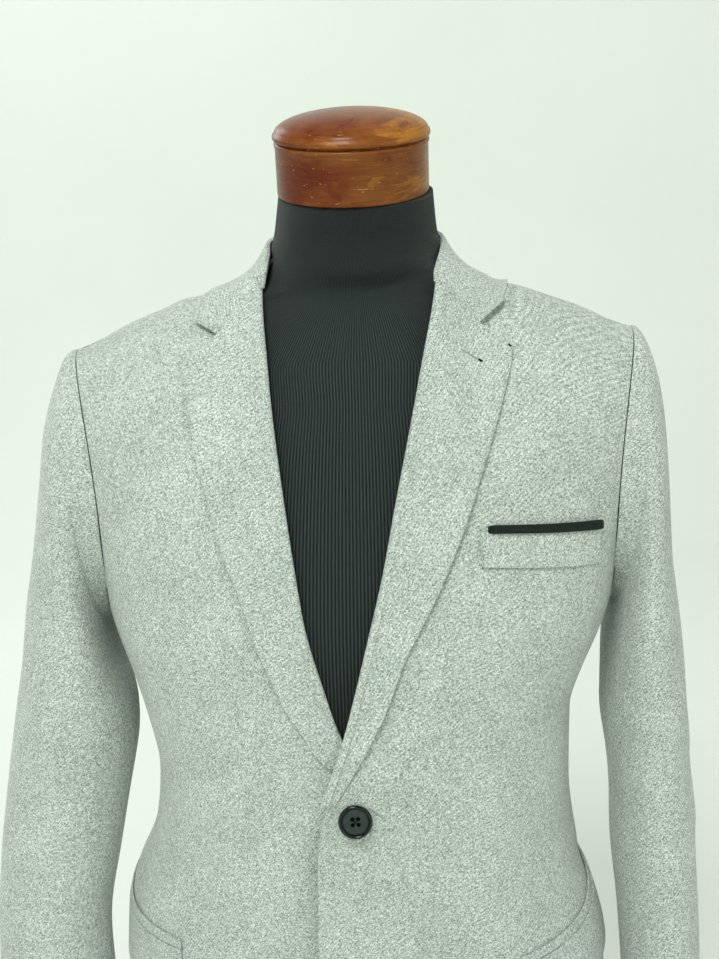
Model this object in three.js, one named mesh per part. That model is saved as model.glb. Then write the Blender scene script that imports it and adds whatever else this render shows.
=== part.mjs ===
// A men's single-breasted wool blazer, buttoned, on a countertop dress form.
// Millimetres, +Z up. The front faces -Y and +X is the wearer's left.
// The origin is the centre of the stand's flat underside.
import * as THREE from "three";

// Driving sizes
const WALL = 2; // pressed wool, with its fusing
const LEAF_WALL = 1.6; // collar and lapel, a thinner ply than the body
const SEAM_GAP = 0.3; // between pieces that are sewn together
const PANEL_EDGE = 0.9985; // a panel ends this share of the way out to its seam
const BODY_EDGE = 0.998; // the same for the side body and the back
const HEM_Z = 135;
const CHEST_Z = 600; // height where the panels' level rows start to climb to the shoulder
const SHOULDER_HALF = 219.4; // from the centre line to the sleeve seam
const ARMHOLE = { top: 803.7, bottom: 590, halfDepth: 62, middle: 211.2, lean: 8.2, bow: 10.5 };
const SHOULDER_LEAN = 0.6; // added at the shoulder seam, where the walls' insides lean over it
const NECK_X = 8.5; // middle of the neck opening, which leans to the wearer's left
const NECK_HALF = 70;
const NECK_BACK_Y = 52; // where the back neck seam crosses the centre back
const CHEST_SLOPE = 290; // height over which the chest comes out to its full depth
const BACK_SLOPE = 134;
const SQUARENESS = 2.5; // exponent of the body's level sections
const SIDE_SEAM_FRONT = 0.965; // place of the front seam of the side body, as a share of the half width
const SIDE_SEAM_BACK = 0.95;
const FRONT_CORNER = 58; // radius of the rounded lower front corners
const ROLL_INSET = 3.6; // how far the fold of the lapel stands past the cloth it wraps
const BUTTON = { x: -9.3, z: 463.8, radius: 12.5, thick: 3.4, rimWidth: 2.6, hole: 1.5, pitch: 4.2 };

// Level sections of the body: half width on the wearer's right and left, depth in front and behind
const BODY = [
  { z: 135, right: 210, left: 201, front: 130, back: 128 },
  { z: 200, right: 209, left: 198, front: 134, back: 125 },
  { z: 255, right: 207.5, left: 195, front: 137, back: 121 },
  { z: 300, right: 205.5, left: 193.5, front: 139, back: 114 },
  { z: 340, right: 202, left: 185, front: 140.5, back: 106 },
  { z: 365, right: 198.5, left: 176.5, front: 141, back: 99 },
  { z: 385, right: 190, left: 173.5, front: 141.5, back: 94 },
  { z: 410, right: 179, left: 170, front: 142, back: 88 },
  { z: 440, right: 172.5, left: 167.2, front: 142, back: 84 },
  { z: 470, right: 170, left: 167.5, front: 142, back: 84 },
  { z: 510, right: 176.5, left: 169.5, front: 141, back: 89 },
  { z: 545, right: 185.5, left: 182.5, front: 140, back: 95 },
  { z: 575, right: 195, left: 196.5, front: 139, back: 100 },
  { z: 600, right: 202, left: 205, front: 137, back: 103 },
  { z: 700, right: 213, left: 217, front: 133, back: 108 },
  { z: 800, right: 220, left: 229, front: 133, back: 104 },
  { z: 890, right: 224, left: 233, front: 133, back: 102 },
];

// The centre line leans a little, as the garment hangs on the form
const CENTRE = [
  { z: 135, x: 0 },
  { z: 600, x: 1.5 },
  { z: 700, x: 3 },
  { z: 800, x: 4.7 },
  { z: 890, x: 8.5 },
];

// Top of the shoulder, by distance from the centre line
const RIDGE = [
  { out: 0, z: 880 },
  { out: 56, z: 878 },
  { out: 65, z: 870 },
  { out: 72, z: 864 },
  { out: 80, z: 857 },
  { out: 90, z: 851 },
  { out: 100, z: 846.8 },
  { out: 118, z: 842 },
  { out: 131, z: 840.5 },
  { out: 143, z: 835 },
  { out: 167, z: 826.5 },
  { out: 192, z: 815.5 },
  { out: 209, z: 806.5 },
  { out: 219.4, z: 803.7 },
  { out: 240, z: 796 },
];

// Inner edge of each front, from the hem up the front edge and the lapel's fold to the neck
const FRONT_EDGE = {
  right: [
    { z: 135, x: 12 },
    { z: 455, x: 12 },
    { z: 480, x: 6 },
    { z: 500, x: -5 },
    { z: 515, x: -13 },
    { z: 530, x: -19 },
    { z: 548, x: -24.5 },
    { z: 572, x: -31 },
    { z: 598, x: -38 },
    { z: 632, x: -43 },
    { z: 702, x: -51 },
    { z: 766, x: -57.3 },
    { z: 814, x: -60.8 },
    { z: 839, x: -63.2 },
    { z: 856, x: -62.8 },
    { z: 869, x: -60.5 },
    { z: 878, x: -59 },
  ],
  left: [
    { z: 135, x: -41 },
    { z: 351, x: -41 },
    { z: 407, x: -39.5 },
    { z: 434, x: -38 },
    { z: 467, x: -32 },
    { z: 503, x: -22.5 },
    { z: 526, x: -15.5 },
    { z: 559, x: -5.7 },
    { z: 605, x: 7.5 },
    { z: 641, x: 17.2 },
    { z: 691, x: 28.5 },
    { z: 761, x: 45.5 },
    { z: 794, x: 53.5 },
    { z: 818, x: 60 },
    { z: 842, x: 65.5 },
    { z: 861, x: 69.5 },
    { z: 878, x: 74.5 },
  ],
};

// Outer edge of each lapel, from its break up to the point
const LAPEL_EDGE = {
  right: [
    { z: 484, x: 1.5 },
    { z: 491, x: -12 },
    { z: 499, x: -25 },
    { z: 523, x: -42 },
    { z: 546, x: -56 },
    { z: 572, x: -66.4 },
    { z: 590, x: -74.2 },
    { z: 624, x: -83.7 },
    { z: 647, x: -91.9 },
    { z: 672, x: -100.2 },
    { z: 703, x: -108.5 },
    { z: 731, x: -115.6 },
    { z: 762, x: -119 },
    { z: 792, x: -122.9 },
  ],
  left: [
    { z: 478, x: -26 },
    { z: 485, x: -19 },
    { z: 498, x: -10 },
    { z: 520, x: 2.6 },
    { z: 540, x: 13.3 },
    { z: 579, x: 30.3 },
    { z: 608, x: 46.1 },
    { z: 634, x: 60 },
    { z: 657, x: 70.2 },
    { z: 694, x: 85 },
    { z: 720, x: 95.7 },
    { z: 745, x: 105 },
    { z: 777, x: 116.5 },
    { z: 797, x: 121 },
  ],
};
const GORGE_Z = 846; // where the collar and lapel seam meets the fold
const NOTCH = { right: { x: -98.5, z: 813 }, left: { x: 98, z: 814 } };
const COLLAR_POINT = { right: { x: -113.8, z: 821 }, left: { x: 117.5, z: 826.5 } };

// Collar, from the centre back (at 0) to the notch (at 1): its centre line, its top fold,
// the edge of the leaf and the foot of the stand
const COLLAR = [
  {
    at: 0,
    centre: 8.5,
    fold: { x: 0, y: 57, z: 897 },
    edge: { x: 0, y: 79 },
    foot: { x: 0, y: 51.4, z: 863.4 },
  },
  {
    at: 0.2,
    centre: 8.5,
    fold: { x: 31, y: 50, z: 894.5 },
    edge: { x: 44, y: 75 },
    foot: { x: 28.3, y: 46, z: 867.5 },
  },
  {
    at: 0.4,
    centre: 8.5,
    fold: { x: 60, y: 29, z: 887.5 },
    edge: { x: 86, y: 56 },
    foot: { x: 56, y: 28, z: 875 },
  },
  {
    at: 0.55,
    centre: 8.5,
    fold: { x: 69.5, y: 3, z: 881 },
    edge: { x: 109, y: 29 },
    foot: { x: 68, y: 3, z: 873.6 },
  },
  {
    at: 0.7,
    centre: 8,
    fold: { x: 68.2, y: -20, z: 873 },
    edge: { x: 120, y: 2 },
    foot: { x: 66.5, y: -16, z: 866 },
  },
  {
    at: 0.85,
    centre: 4.8,
    fold: { x: 66.6, y: -41, z: 861 },
    edge: { x: 120, y: -22 },
    foot: { x: 64.6, y: -35.5, z: 856.5 },
  },
];
const LEAF_SHARES = [0.12, 0.25, 0.42, 0.62, 0.82, 1]; // places across the leaf, the notch at the fourth
const NOTCH_SHARE = 0.62;

// Sleeves: each row is a ring, from its outer point to its inner point, with its middle's
// depth and its half depth. The first ring is the armhole itself.
const SLEEVE = {
  right: [
    { outX: 223.2, outZ: 800.8, inX: 206, inZ: 584, midY: 0, half: 65 },
    { outX: 229.7, outZ: 789, inX: 206, inZ: 577, midY: 0, half: 67.5 },
    { outX: 237.6, outZ: 768, inX: 205, inZ: 568, midY: -1, half: 69 },
    { outX: 243.9, outZ: 745, inX: 203, inZ: 558, midY: -2, half: 69.5 },
    { outX: 249.1, outZ: 712, inX: 200, inZ: 547, midY: -4, half: 69 },
    { outX: 256.5, outZ: 668, inX: 195, inZ: 535, midY: -6, half: 67.5 },
    { outX: 264.2, outZ: 622, inX: 189.5, inZ: 520, midY: -9, half: 65 },
    { outX: 272, outZ: 575, inX: 187, inZ: 504, midY: -13, half: 62 },
    { outX: 281, outZ: 530, inX: 187.5, inZ: 486, midY: -17, half: 58 },
    { outX: 289.8, outZ: 482, inX: 192, inZ: 462, midY: -22, half: 54 },
    { outX: 297.5, outZ: 435, inX: 199.5, inZ: 427, midY: -28, half: 50 },
    { outX: 304, outZ: 388, inX: 208, inZ: 386, midY: -34, half: 47 },
    { outX: 308, outZ: 338, inX: 217, inZ: 340, midY: -39, half: 45 },
    { outX: 310, outZ: 288, inX: 216.5, inZ: 290, midY: -43, half: 43 },
    { outX: 311, outZ: 238, inX: 216.5, inZ: 239, midY: -46, half: 41 },
    { outX: 311, outZ: 190, inX: 217, inZ: 190, midY: -48, half: 39.5 },
  ],
  left: [
    { outX: 228.6, outZ: 803.2, inX: 209, inZ: 584, midY: 0, half: 65 },
    { outX: 234.6, outZ: 794.5, inX: 208.5, inZ: 577, midY: 0, half: 68 },
    { outX: 240.2, outZ: 778, inX: 207.5, inZ: 569, midY: -1, half: 70 },
    { outX: 244.8, outZ: 754, inX: 206, inZ: 560, midY: -2, half: 71 },
    { outX: 247.6, outZ: 720, inX: 204, inZ: 549, midY: -4, half: 71 },
    { outX: 249.6, outZ: 678, inX: 201.5, inZ: 537, midY: -6, half: 70 },
    { outX: 251.5, outZ: 630, inX: 199.5, inZ: 522, midY: -9, half: 68 },
    { outX: 255.4, outZ: 582, inX: 197.5, inZ: 505, midY: -13, half: 66 },
    { outX: 259.8, outZ: 532, inX: 196.5, inZ: 485, midY: -17, half: 64 },
    { outX: 263.2, outZ: 484, inX: 199, inZ: 461, midY: -22, half: 61 },
    { outX: 265.3, outZ: 433, inX: 201, inZ: 425, midY: -28, half: 58.5 },
    { outX: 266.2, outZ: 386, inX: 200, inZ: 384, midY: -34, half: 56 },
    { outX: 267.5, outZ: 336, inX: 203.6, inZ: 337, midY: -39, half: 53.5 },
    { outX: 268, outZ: 287, inX: 206, inZ: 287, midY: -43, half: 51.5 },
    { outX: 267, outZ: 239, inX: 208, inZ: 239, midY: -46, half: 49 },
    { outX: 266, outZ: 192, inX: 209, inZ: 192, midY: -48, half: 47 },
  ],
};
const SLEEVE_SEAM_FRONT = [140, 152]; // degrees from the outer line, at the armhole and at the cuff
const SLEEVE_SEAM_BACK = [128, 124];

// Breast welt and the piping along its mouth: top and bottom line at each end
const WELT = { inner: { x: 89.2, top: 667.5, bottom: 642.5 }, outer: { x: 183, top: 660.5, bottom: 631 } };
const PIPING = {
  inner: { x: 95.8, top: 671.3, bottom: 666.1 },
  outer: { x: 182.1, top: 664.8, bottom: 658.2 },
};
// Hip pockets: the mouth's front end, its length round the body and its height along it
const HIP = {
  right: { front: 148, backY: 22, mouthFront: 345.5, mouthBack: 353 },
  left: { front: 112, backY: 22, mouthFront: 327, mouthBack: 351 },
};
const JET_RISE = 2.1; // outer face of the jet and of the flap off the panel
const FLAP_RISE = 3;
const JET_HEIGHT = 8;
const FLAP_HEIGHT = 45;

// Dress form and stand
const FORM_BOTTOM = 170;
const FORM_SIDE = 198; // half width at the arm plates, inside the armholes
const FORM_FRONT_CLEAR = 6; // from the fronts' outer face to the form, behind the lapel folds
const FORM_BACK_CLEAR = 6.5;
// Below the cloth's outer face, under the sleeve end and under the collar
const FORM_TOP_CLEAR = { shoulder: 4.3, neck: 7.5 };
const NECK = { x: NECK_X, half: 65.4, depth: 59.5, y: -10, z: 876 };
const NECK_TOP = { x: 10.2, half: 59.2, depth: 56, y: -20, z: 915.5 };
const NECK_TILT = THREE.MathUtils.degToRad(14.5);
const CAP = { radius: 58, rim: 59.6, groove: 57.4, grooveAt: 40.5, grooveHalf: 1.1, rimAt: 45, dome: 17 };
const FORM_SEGMENTS = 36;
const POLE_RADIUS = 12.7;
const BASE = { radius: 120, thick: 14, bevel: 4 };

const RIGHT = -1;
const LEFT = 1;
const nameOf = (side) => (side === LEFT ? "left" : "right");

// Small numeric helpers
const clamp = (value, low, high) => Math.min(high, Math.max(low, value));
const lerp = (a, b, share) => a + (b - a) * share;
const smooth = (from, to, value) => {
  const share = clamp((value - from) / (to - from), 0, 1);
  return share * share * (3 - 2 * share);
};
const point = (x, y, z) => new THREE.Vector3(x, y, z);
const range = (count) => Array.from({ length: count + 1 }, (_, i) => i / count);

// Reads one column of a table against another by a smooth curve that never overshoots its rows.
function reader(rows, key, column) {
  const xs = rows.map((row) => row[key]);
  const ys = rows.map((row) => row[column]);
  const rise = xs.slice(1).map((x, i) => (ys[i + 1] - ys[i]) / (x - xs[i]));
  const slopes = xs.map((_, i) => {
    if (i === 0) return rise[0];
    if (i === xs.length - 1) return rise[i - 1];
    const [a, b] = [rise[i - 1], rise[i]];
    return a * b <= 0 ? 0 : (2 * a * b) / (a + b);
  });
  return (at) => {
    const x = clamp(at, xs[0], xs[xs.length - 1]);
    const i = clamp(xs.findIndex((value) => value > x) - 1, 0, xs.length - 2);
    const j = x >= xs[xs.length - 1] ? xs.length - 2 : i;
    const width = xs[j + 1] - xs[j];
    const t = (x - xs[j]) / width;
    const level = (2 * t ** 3 - 3 * t ** 2 + 1) * ys[j] + (3 * t ** 2 - 2 * t ** 3) * ys[j + 1];
    const lean = (t ** 3 - 2 * t ** 2 + t) * slopes[j] + (t ** 3 - t ** 2) * slopes[j + 1];
    return level + lean * width;
  };
}

const bodyWidth = { right: reader(BODY, "z", "right"), left: reader(BODY, "z", "left") };
const bodyFront = reader(BODY, "z", "front");
const bodyBack = reader(BODY, "z", "back");
const centreX = reader(CENTRE, "z", "x");
const ridgeZ = reader(RIDGE, "out", "z");
const edgeX = { right: reader(FRONT_EDGE.right, "z", "x"), left: reader(FRONT_EDGE.left, "z", "x") };
const lapelX = { right: reader(LAPEL_EDGE.right, "z", "x"), left: reader(LAPEL_EDGE.left, "z", "x") };

const ellipse = (share) => Math.max(0, 1 - clamp(share, 0, 1) ** SQUARENESS) ** (1 / SQUARENESS);
const slope = (share) => Math.sqrt(1 - (1 - clamp(share, 0, 1)) ** 2);
const shoulderCentre = (x) => lerp(NECK_X, 4.7, smooth(70, 130, Math.abs(x)));
const shoulderZ = (x) => ridgeZ(Math.abs(x - shoulderCentre(x)));

// Depth of the front (drop of y) and of the back at a place seen from in front
function frontDepth(side, x, z) {
  const across = ellipse(Math.abs(x) / bodyWidth[nameOf(side)](z));
  return bodyFront(z) * across * slope((shoulderZ(x) - z) / CHEST_SLOPE);
}
function backDepth(side, x, z) {
  const across = ellipse(Math.abs(x) / bodyWidth[nameOf(side)](z));
  return bodyBack(z) * across * slope((shoulderZ(x) - z) / BACK_SLOPE);
}

// Height of the shoulder's top surface over a place seen from above
function topZ(x, y) {
  const side = x < 0 ? RIGHT : LEFT;
  const reach = y < 0 ? bodyFront(800) : bodyBack(800);
  const across = reach * ellipse(Math.abs(x) / bodyWidth[nameOf(side)](820));
  const drop = 1 - Math.sqrt(Math.max(0, 1 - (y / across) ** 2));
  return shoulderZ(x) - (y < 0 ? CHEST_SLOPE : BACK_SLOPE) * drop;
}

// The armhole seam: a loop that follows the body's side. Angle 0 is the shoulder point and
// 180 the bottom; positive angles run down the front.
function armhole(side, degrees) {
  const a = THREE.MathUtils.degToRad(degrees);
  const z = lerp(ARMHOLE.bottom, ARMHOLE.top, (1 + Math.cos(a)) / 2);
  const out = ARMHOLE.middle + ARMHOLE.lean * Math.cos(a) - ARMHOLE.bow * Math.sin(a) ** 2;
  return point(centreX(z) + side * out, -ARMHOLE.halfDepth * Math.sin(a), z);
}
function armholeAtHeight(side, z, sign) {
  const share = (2 * (z - ARMHOLE.bottom)) / (ARMHOLE.top - ARMHOLE.bottom) - 1;
  return armhole(side, sign * THREE.MathUtils.radToDeg(Math.acos(clamp(share, -1, 1))));
}
const SEAM_TOP_FRONT = 140; // where the side body's seams reach the armhole
const SEAM_TOP_BACK = -134;

// Point of the plain body surface at a height, by its angle round from the side
function ringPoint(side, angle, z) {
  const cos = Math.abs(Math.cos(angle)) ** (2 / SQUARENESS);
  const sin = Math.abs(Math.sin(angle)) ** (2 / SQUARENESS) * Math.sign(Math.sin(angle));
  const x = side * cos * bodyWidth[nameOf(side)](z);
  const depth = angle < 0 ? bodyFront(z) : bodyBack(z);
  const rise = slope((shoulderZ(x) - z) / (angle < 0 ? CHEST_SLOPE : BACK_SLOPE));
  return point(x, depth * sin * rise, z);
}
const seamAngle = (share) => Math.acos(share ** (SQUARENESS / 2));

// Side body seams, from the hem to the armhole
function sideSeam(side, z, front) {
  const angle = front ? -seamAngle(SIDE_SEAM_FRONT) : seamAngle(SIDE_SEAM_BACK);
  const top = armhole(side, front ? SEAM_TOP_FRONT : SEAM_TOP_BACK);
  const plain = ringPoint(side, angle, z);
  const miss = top.clone().sub(ringPoint(side, angle, top.z));
  return plain.addScaledVector(miss, smooth(500, top.z, z));
}

// How far the wearer's left front stands out where it laps over the other front and lapel
function lap(side, x, z) {
  if (side === RIGHT) return 0;
  const height = lerp(2.7, 7.8, smooth(440, 482, z)) * (1 - smooth(545, 610, z));
  return height * (1 - smooth(16, 80, x));
}

// Inner edge of a front panel: cut away round the lower corner, and set back under the lapel's fold
function frontEdge(side, z) {
  const corner = clamp(1 - (z - HEM_Z) / FRONT_CORNER, 0, 1);
  const cut = FRONT_CORNER * (1 - Math.sqrt(1 - corner * corner));
  const fold = ROLL_INSET * smooth(476, 520, z);
  return edgeX[nameOf(side)](z) + side * (cut + fold);
}

// A front panel's surface at a place seen from in front, with its edge brought to the armhole
function frontSurface(side, x, z) {
  let y = -frontDepth(side, x, z);
  const top = armhole(side, SEAM_TOP_FRONT).z;
  const rim = z > top ? armholeAtHeight(side, z, 1) : sideSeam(side, z, true);
  const miss = rim.y + frontDepth(side, rim.x, z);
  y += miss * clamp(Math.abs(x / rim.x), 0, 1) ** 6;
  return point(x, y - SEAM_GAP / 2 - lap(side, x, z), z);
}
function frontNormal(side, x, z) {
  const step = 0.5;
  const across = frontSurface(side, x + step, z).sub(frontSurface(side, x - step, z));
  const up = frontSurface(side, x, z + step).sub(frontSurface(side, x, z - step));
  return across.cross(up).normalize();
}
const offFront = (side, x, z, height) =>
  frontSurface(side, x, z).addScaledVector(frontNormal(side, x, z), height);

// Grid points of a front: share across from the inner edge, and level 0 to 1 up to the chest,
// 1 to 2 up to the shoulder seam
function frontPoint(side, across, level) {
  const rim = armhole(side, SEAM_TOP_FRONT).z;
  const middle = lerp(CHEST_Z, rim, across);
  if (level <= 1) {
    const z = lerp(HEM_Z, middle, level);
    const outer = sideSeam(side, z, true);
    return frontSurface(side, lerp(frontEdge(side, z), outer.x, across * PANEL_EDGE), z);
  }
  const climb = 1 - (2 - level) ** 2;
  const neckX = NECK_X + side * NECK_HALF;
  const shoulderX = armhole(side, 0).x;
  const seamX = lerp(neckX, shoulderX, across * PANEL_EDGE);
  const z = lerp(middle, shoulderZ(seamX), climb);
  const innerZ = lerp(CHEST_Z, shoulderZ(neckX), climb);
  const innerX = lerp(frontEdge(side, innerZ), neckX, smooth(0.94, 1, climb));
  const outer = armholeAtHeight(side, lerp(rim, ARMHOLE.top, climb), 1);
  const p = frontSurface(side, lerp(innerX, outer.x, across * PANEL_EDGE), z);
  return p.setY(p.y - SHOULDER_LEAN * climb ** 12);
}

// Grid points of a back, from the centre back seam outwards and from the hem to the shoulder
function backPoint(side, across, level) {
  const rim = armhole(side, SEAM_TOP_BACK).z;
  const middle = lerp(CHEST_Z, rim, across);
  const share = lerp(SEAM_GAP / 2 / SHOULDER_HALF, BODY_EDGE, across);
  const place = (z, rimPoint, climb = 0) => {
    const x = lerp(lerp(centreX(z), NECK_X, climb), rimPoint.x, share);
    const plain = backDepth(side, x, z);
    const miss = rimPoint.y - backDepth(side, rimPoint.x, rimPoint.z);
    return point(x, plain + miss * share ** 6 + SEAM_GAP / 2 + SHOULDER_LEAN * climb ** 12, z);
  };
  if (level <= 1) {
    const z = lerp(HEM_Z, middle, level);
    return place(z, sideSeam(side, z, false));
  }
  const climb = 1 - (2 - level) ** 2;
  const seamX = lerp(NECK_X, armhole(side, 0).x, share);
  const fromNeck = Math.abs(seamX - NECK_X) / NECK_HALF;
  const neckY = NECK_BACK_Y * Math.sqrt(Math.max(0, 1 - fromNeck ** 2));
  const top = topZ(seamX, neckY);
  const z = lerp(middle, top, climb);
  return place(z, armholeAtHeight(side, lerp(rim, ARMHOLE.top, climb), -1), climb);
}

// Grid points of a side body, from its front seam round to its back seam
function sidePoint(side, across, level) {
  const share = lerp(1 - BODY_EDGE, BODY_EDGE, across);
  const angle = lerp(-seamAngle(SIDE_SEAM_FRONT), seamAngle(SIDE_SEAM_BACK), share);
  const rim = armhole(side, lerp(SEAM_TOP_FRONT, 360 + SEAM_TOP_BACK, share));
  const at = (z) => {
    const front = sideSeam(side, z, true).sub(ringPoint(side, -seamAngle(SIDE_SEAM_FRONT), z));
    const back = sideSeam(side, z, false).sub(ringPoint(side, seamAngle(SIDE_SEAM_BACK), z));
    return ringPoint(side, angle, z)
      .addScaledVector(front, (1 - share) ** 3)
      .addScaledVector(back, share ** 3);
  };
  const z = lerp(HEM_Z, rim.z - SEAM_GAP, level);
  const p = at(z);
  const miss = rim.clone().sub(at(rim.z));
  p.addScaledVector(miss, level ** 8);
  p.z = z;
  return p;
}

// Section of a lapel's fold: run out from the fold line and height off the front
const FOLD = [
  { run: -2.3, rise: -2 },
  { run: -3.5, rise: 0.9 },
  { run: -2.3, rise: 3.9 },
  { run: 1.5, rise: 5.3 },
];
const LAPEL_SHARES = [0.1, 0.22, 0.38, 0.56, 0.78, 1];
function lapelSection(side, level) {
  const edge = LAPEL_EDGE[nameOf(side)];
  const breakZ = edge[0].z;
  const tip = edge[edge.length - 1];
  const foldZ = lerp(breakZ, GORGE_Z, level);
  const edgeZ = lerp(breakZ, tip.z, level);
  const foldX = frontEdge(side, foldZ);
  const outerX = lapelX[nameOf(side)](edgeZ);
  const width = Math.max(2.5, Math.abs(outerX - foldX));
  const start = smooth(0, 0.06, level);
  const pressed = side === RIGHT ? lerp(0.8, 1, smooth(520, 580, foldZ)) : 1;
  const turn = FOLD.map(({ run, rise }) => {
    const height = rise * pressed * lerp(0.9, 1, start) + 0.4 * (1 - start);
    return offFront(side, foldX + side * run * lerp(1.15, 1, start), foldZ, height);
  });
  const notch = NOTCH[nameOf(side)];
  const atNotch = (notch.x - foldX) / (outerX - foldX);
  const sag = (lerp(foldZ, edgeZ, atNotch) - notch.z + 1.1) * smooth(0.8, 1, level);
  const leaf = LAPEL_SHARES.map((share) => {
    const run = Math.max(width * share, 2.2 + 4 * share);
    const rise = WALL + SEAM_GAP + 1.9 * (1 - share) ** 2;
    const bend = share < atNotch ? share / atNotch : (1 - share) / (1 - atNotch);
    const dip = level > 0.8 ? sag * bend : 0;
    return offFront(side, foldX + side * run, lerp(foldZ, edgeZ, share) - dip, rise);
  });
  return [...turn, ...leaf];
}

// The collar table at any place from the centre back to the notch, where its last row is the end
// of the gorge seam on that side
const COLLAR_END = 2.2; // middle of the two gorge ends, which the garment's lean moves off the centre
function collarReader(side) {
  const name = nameOf(side);
  const z = GORGE_Z + 1.4;
  const foldX = edgeX[name](z);
  const foldY = frontSurface(side, foldX + side * ROLL_INSET, z).y;
  const point = COLLAR_POINT[name];
  const out = side * (foldX - COLLAR_END);
  const end = {
    at: 1,
    centre: COLLAR_END,
    fold: { x: out, y: foldY - 3, z: z + 2.5 },
    edge: { x: side * (point.x - COLLAR_END), y: frontSurface(side, point.x, point.z).y },
    foot: { x: out - 0.2, y: foldY + 3.2, z },
  };
  const rows = [...COLLAR, end];
  const column = (pick) => reader(rows.map((row) => ({ at: row.at, value: pick(row) })), "at", "value");
  const read = {
    centre: column((row) => row.centre),
    foldX: column((row) => row.fold.x),
    foldY: column((row) => row.fold.y),
    foldZ: column((row) => row.fold.z),
    edgeX: column((row) => row.edge.x),
    edgeY: column((row) => row.edge.y),
    footX: column((row) => row.foot.x),
    footY: column((row) => row.foot.y),
    footZ: column((row) => row.foot.z),
  };
  return (at) => Object.fromEntries(Object.entries(read).map(([key, value]) => [key, value(at)]));
}
const COLLAR_ROWS = { right: collarReader(RIGHT), left: collarReader(LEFT) };

// Point above the shoulder's top surface, by its place seen from above
function overShoulder(x, y, height) {
  const step = 0.5;
  const dx = (topZ(x + step, y) - topZ(x - step, y)) / (2 * step);
  const dy = (topZ(x, y + step) - topZ(x, y - step)) / (2 * step);
  return topZ(x, y) + height * Math.sqrt(1 + dx * dx + dy * dy);
}

function collarSection(place) {
  const side = place < 0 ? RIGHT : LEFT;
  const at = Math.abs(place);
  const row = COLLAR_ROWS[nameOf(side)](at);
  const fold = point(row.centre + side * row.foldX, row.foldY, row.foldZ);
  const foot = point(row.centre + side * row.footX, row.footY, row.footZ);
  const edgePlan = { x: row.centre + side * row.edgeX, y: row.edgeY };
  const leafHeight = LEAF_WALL + SEAM_GAP + lerp(2.3, 1.3, smooth(0.78, 0.95, at));
  const edge = point(edgePlan.x, edgePlan.y, overShoulder(edgePlan.x, edgePlan.y, leafHeight));
  const down = foot.clone().sub(fold).normalize();
  const out = edge.clone().sub(fold);
  out.addScaledVector(down, -out.dot(down)).normalize();
  const shift = (p, outBy, downBy) => p.clone().addScaledVector(out, outBy).addScaledVector(down, downBy);
  const stand = shift(foot.clone().lerp(fold, 0.6), -0.5, 0);
  const leafStart = shift(fold, 2.5, 1.4);
  const turn = [foot, stand, shift(fold, -2.2, 1.6), fold, leafStart];
  const notch = NOTCH[nameOf(side)];
  const tip = COLLAR_POINT[nameOf(side)];
  const leaf = LEAF_SHARES.map((share) => {
    const x = lerp(fold.x, edgePlan.x, share);
    const y = lerp(fold.y, edgePlan.y, share);
    const rest = overShoulder(x, y, leafHeight);
    const start = leafStart.z - overShoulder(leafStart.x, leafStart.y, leafHeight);
    const plain = point(x, y, rest + Math.max(0, start) * (1 - share) ** 3);
    const inner = share < NOTCH_SHARE;
    const part = inner ? share / NOTCH_SHARE : (share - NOTCH_SHARE) / (1 - NOTCH_SHARE);
    const gorgeX = inner ? lerp(leafStart.x, notch.x, part) : lerp(notch.x, tip.x, part);
    const gorgeZ = inner ? lerp(leafStart.z, notch.z, part) : lerp(notch.z, tip.z, part);
    return plain.lerp(offFront(side, gorgeX, gorgeZ, leafHeight), smooth(0.86, 1, at));
  });
  return [...turn, ...leaf];
}

// Grid points of a sleeve, by ring (0 at the armhole) and by angle from its outer line
function sleevePoint(side, ring, degrees) {
  const rows = SLEEVE[nameOf(side)];
  const a = THREE.MathUtils.degToRad(degrees);
  if (ring === 0) {
    const seam = armhole(side, degrees);
    return point(seam.x + side * 0.55, seam.y, seam.z);
  }
  const row = rows[ring - 1];
  const reach = (1 + Math.cos(a)) / 2;
  const x = side * lerp(row.inX, row.outX, reach);
  return point(x, row.midY - row.half * Math.sin(a), lerp(row.inZ, row.outZ, reach));
}

// Meshes

// A cloth wall from rows of outer points, thick towards the inside. With spare columns, the
// first and last of each row only steer the wall's direction at its edges.
function wallMesh(allRows, thick, inward, spare = 0) {
  const nv = allRows.length;
  const nu = allRows[0].length - 2 * spare;
  const at = (v, u) => allRows[clamp(v, 0, nv - 1)][clamp(u + spare, 0, nu + 2 * spare - 1)];
  const rows = allRows.map((row) => row.slice(spare, spare + nu));
  const outer = rows.flat();
  const inner = rows.flatMap((row, v) =>
    row.map((p, u) => {
      const across = at(v, u + 1).clone().sub(at(v, u - 1));
      const up = at(v + 1, u).clone().sub(at(v - 1, u));
      const normal = across.cross(up).normalize();
      return p.clone().addScaledVector(normal, -thick * inward);
    }),
  );
  const index = [];
  const quad = (a, b, c, d) => index.push(a, b, c, a, c, d);
  const id = (v, u) => v * nu + u;
  const off = nu * nv;
  for (let v = 0; v + 1 < nv; v++)
    for (let u = 0; u + 1 < nu; u++) {
      quad(id(v, u), id(v, u + 1), id(v + 1, u + 1), id(v + 1, u));
      quad(off + id(v, u), off + id(v + 1, u), off + id(v + 1, u + 1), off + id(v, u + 1));
    }
  const rim = [
    ...range(nu - 1).map((_, u) => id(0, u)),
    ...range(nv - 1).slice(1).map((_, v) => id(v + 1, nu - 1)),
    ...range(nu - 1).slice(1).map((_, u) => id(nv - 1, nu - 2 - u)),
    ...range(nv - 1).slice(2).map((_, v) => id(nv - 2 - v, 0)),
  ];
  rim.forEach((a, i) => {
    const b = rim[(i + 1) % rim.length];
    quad(a, off + a, off + b, b);
  });
  return facingOut([...outer, ...inner], index);
}

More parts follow.
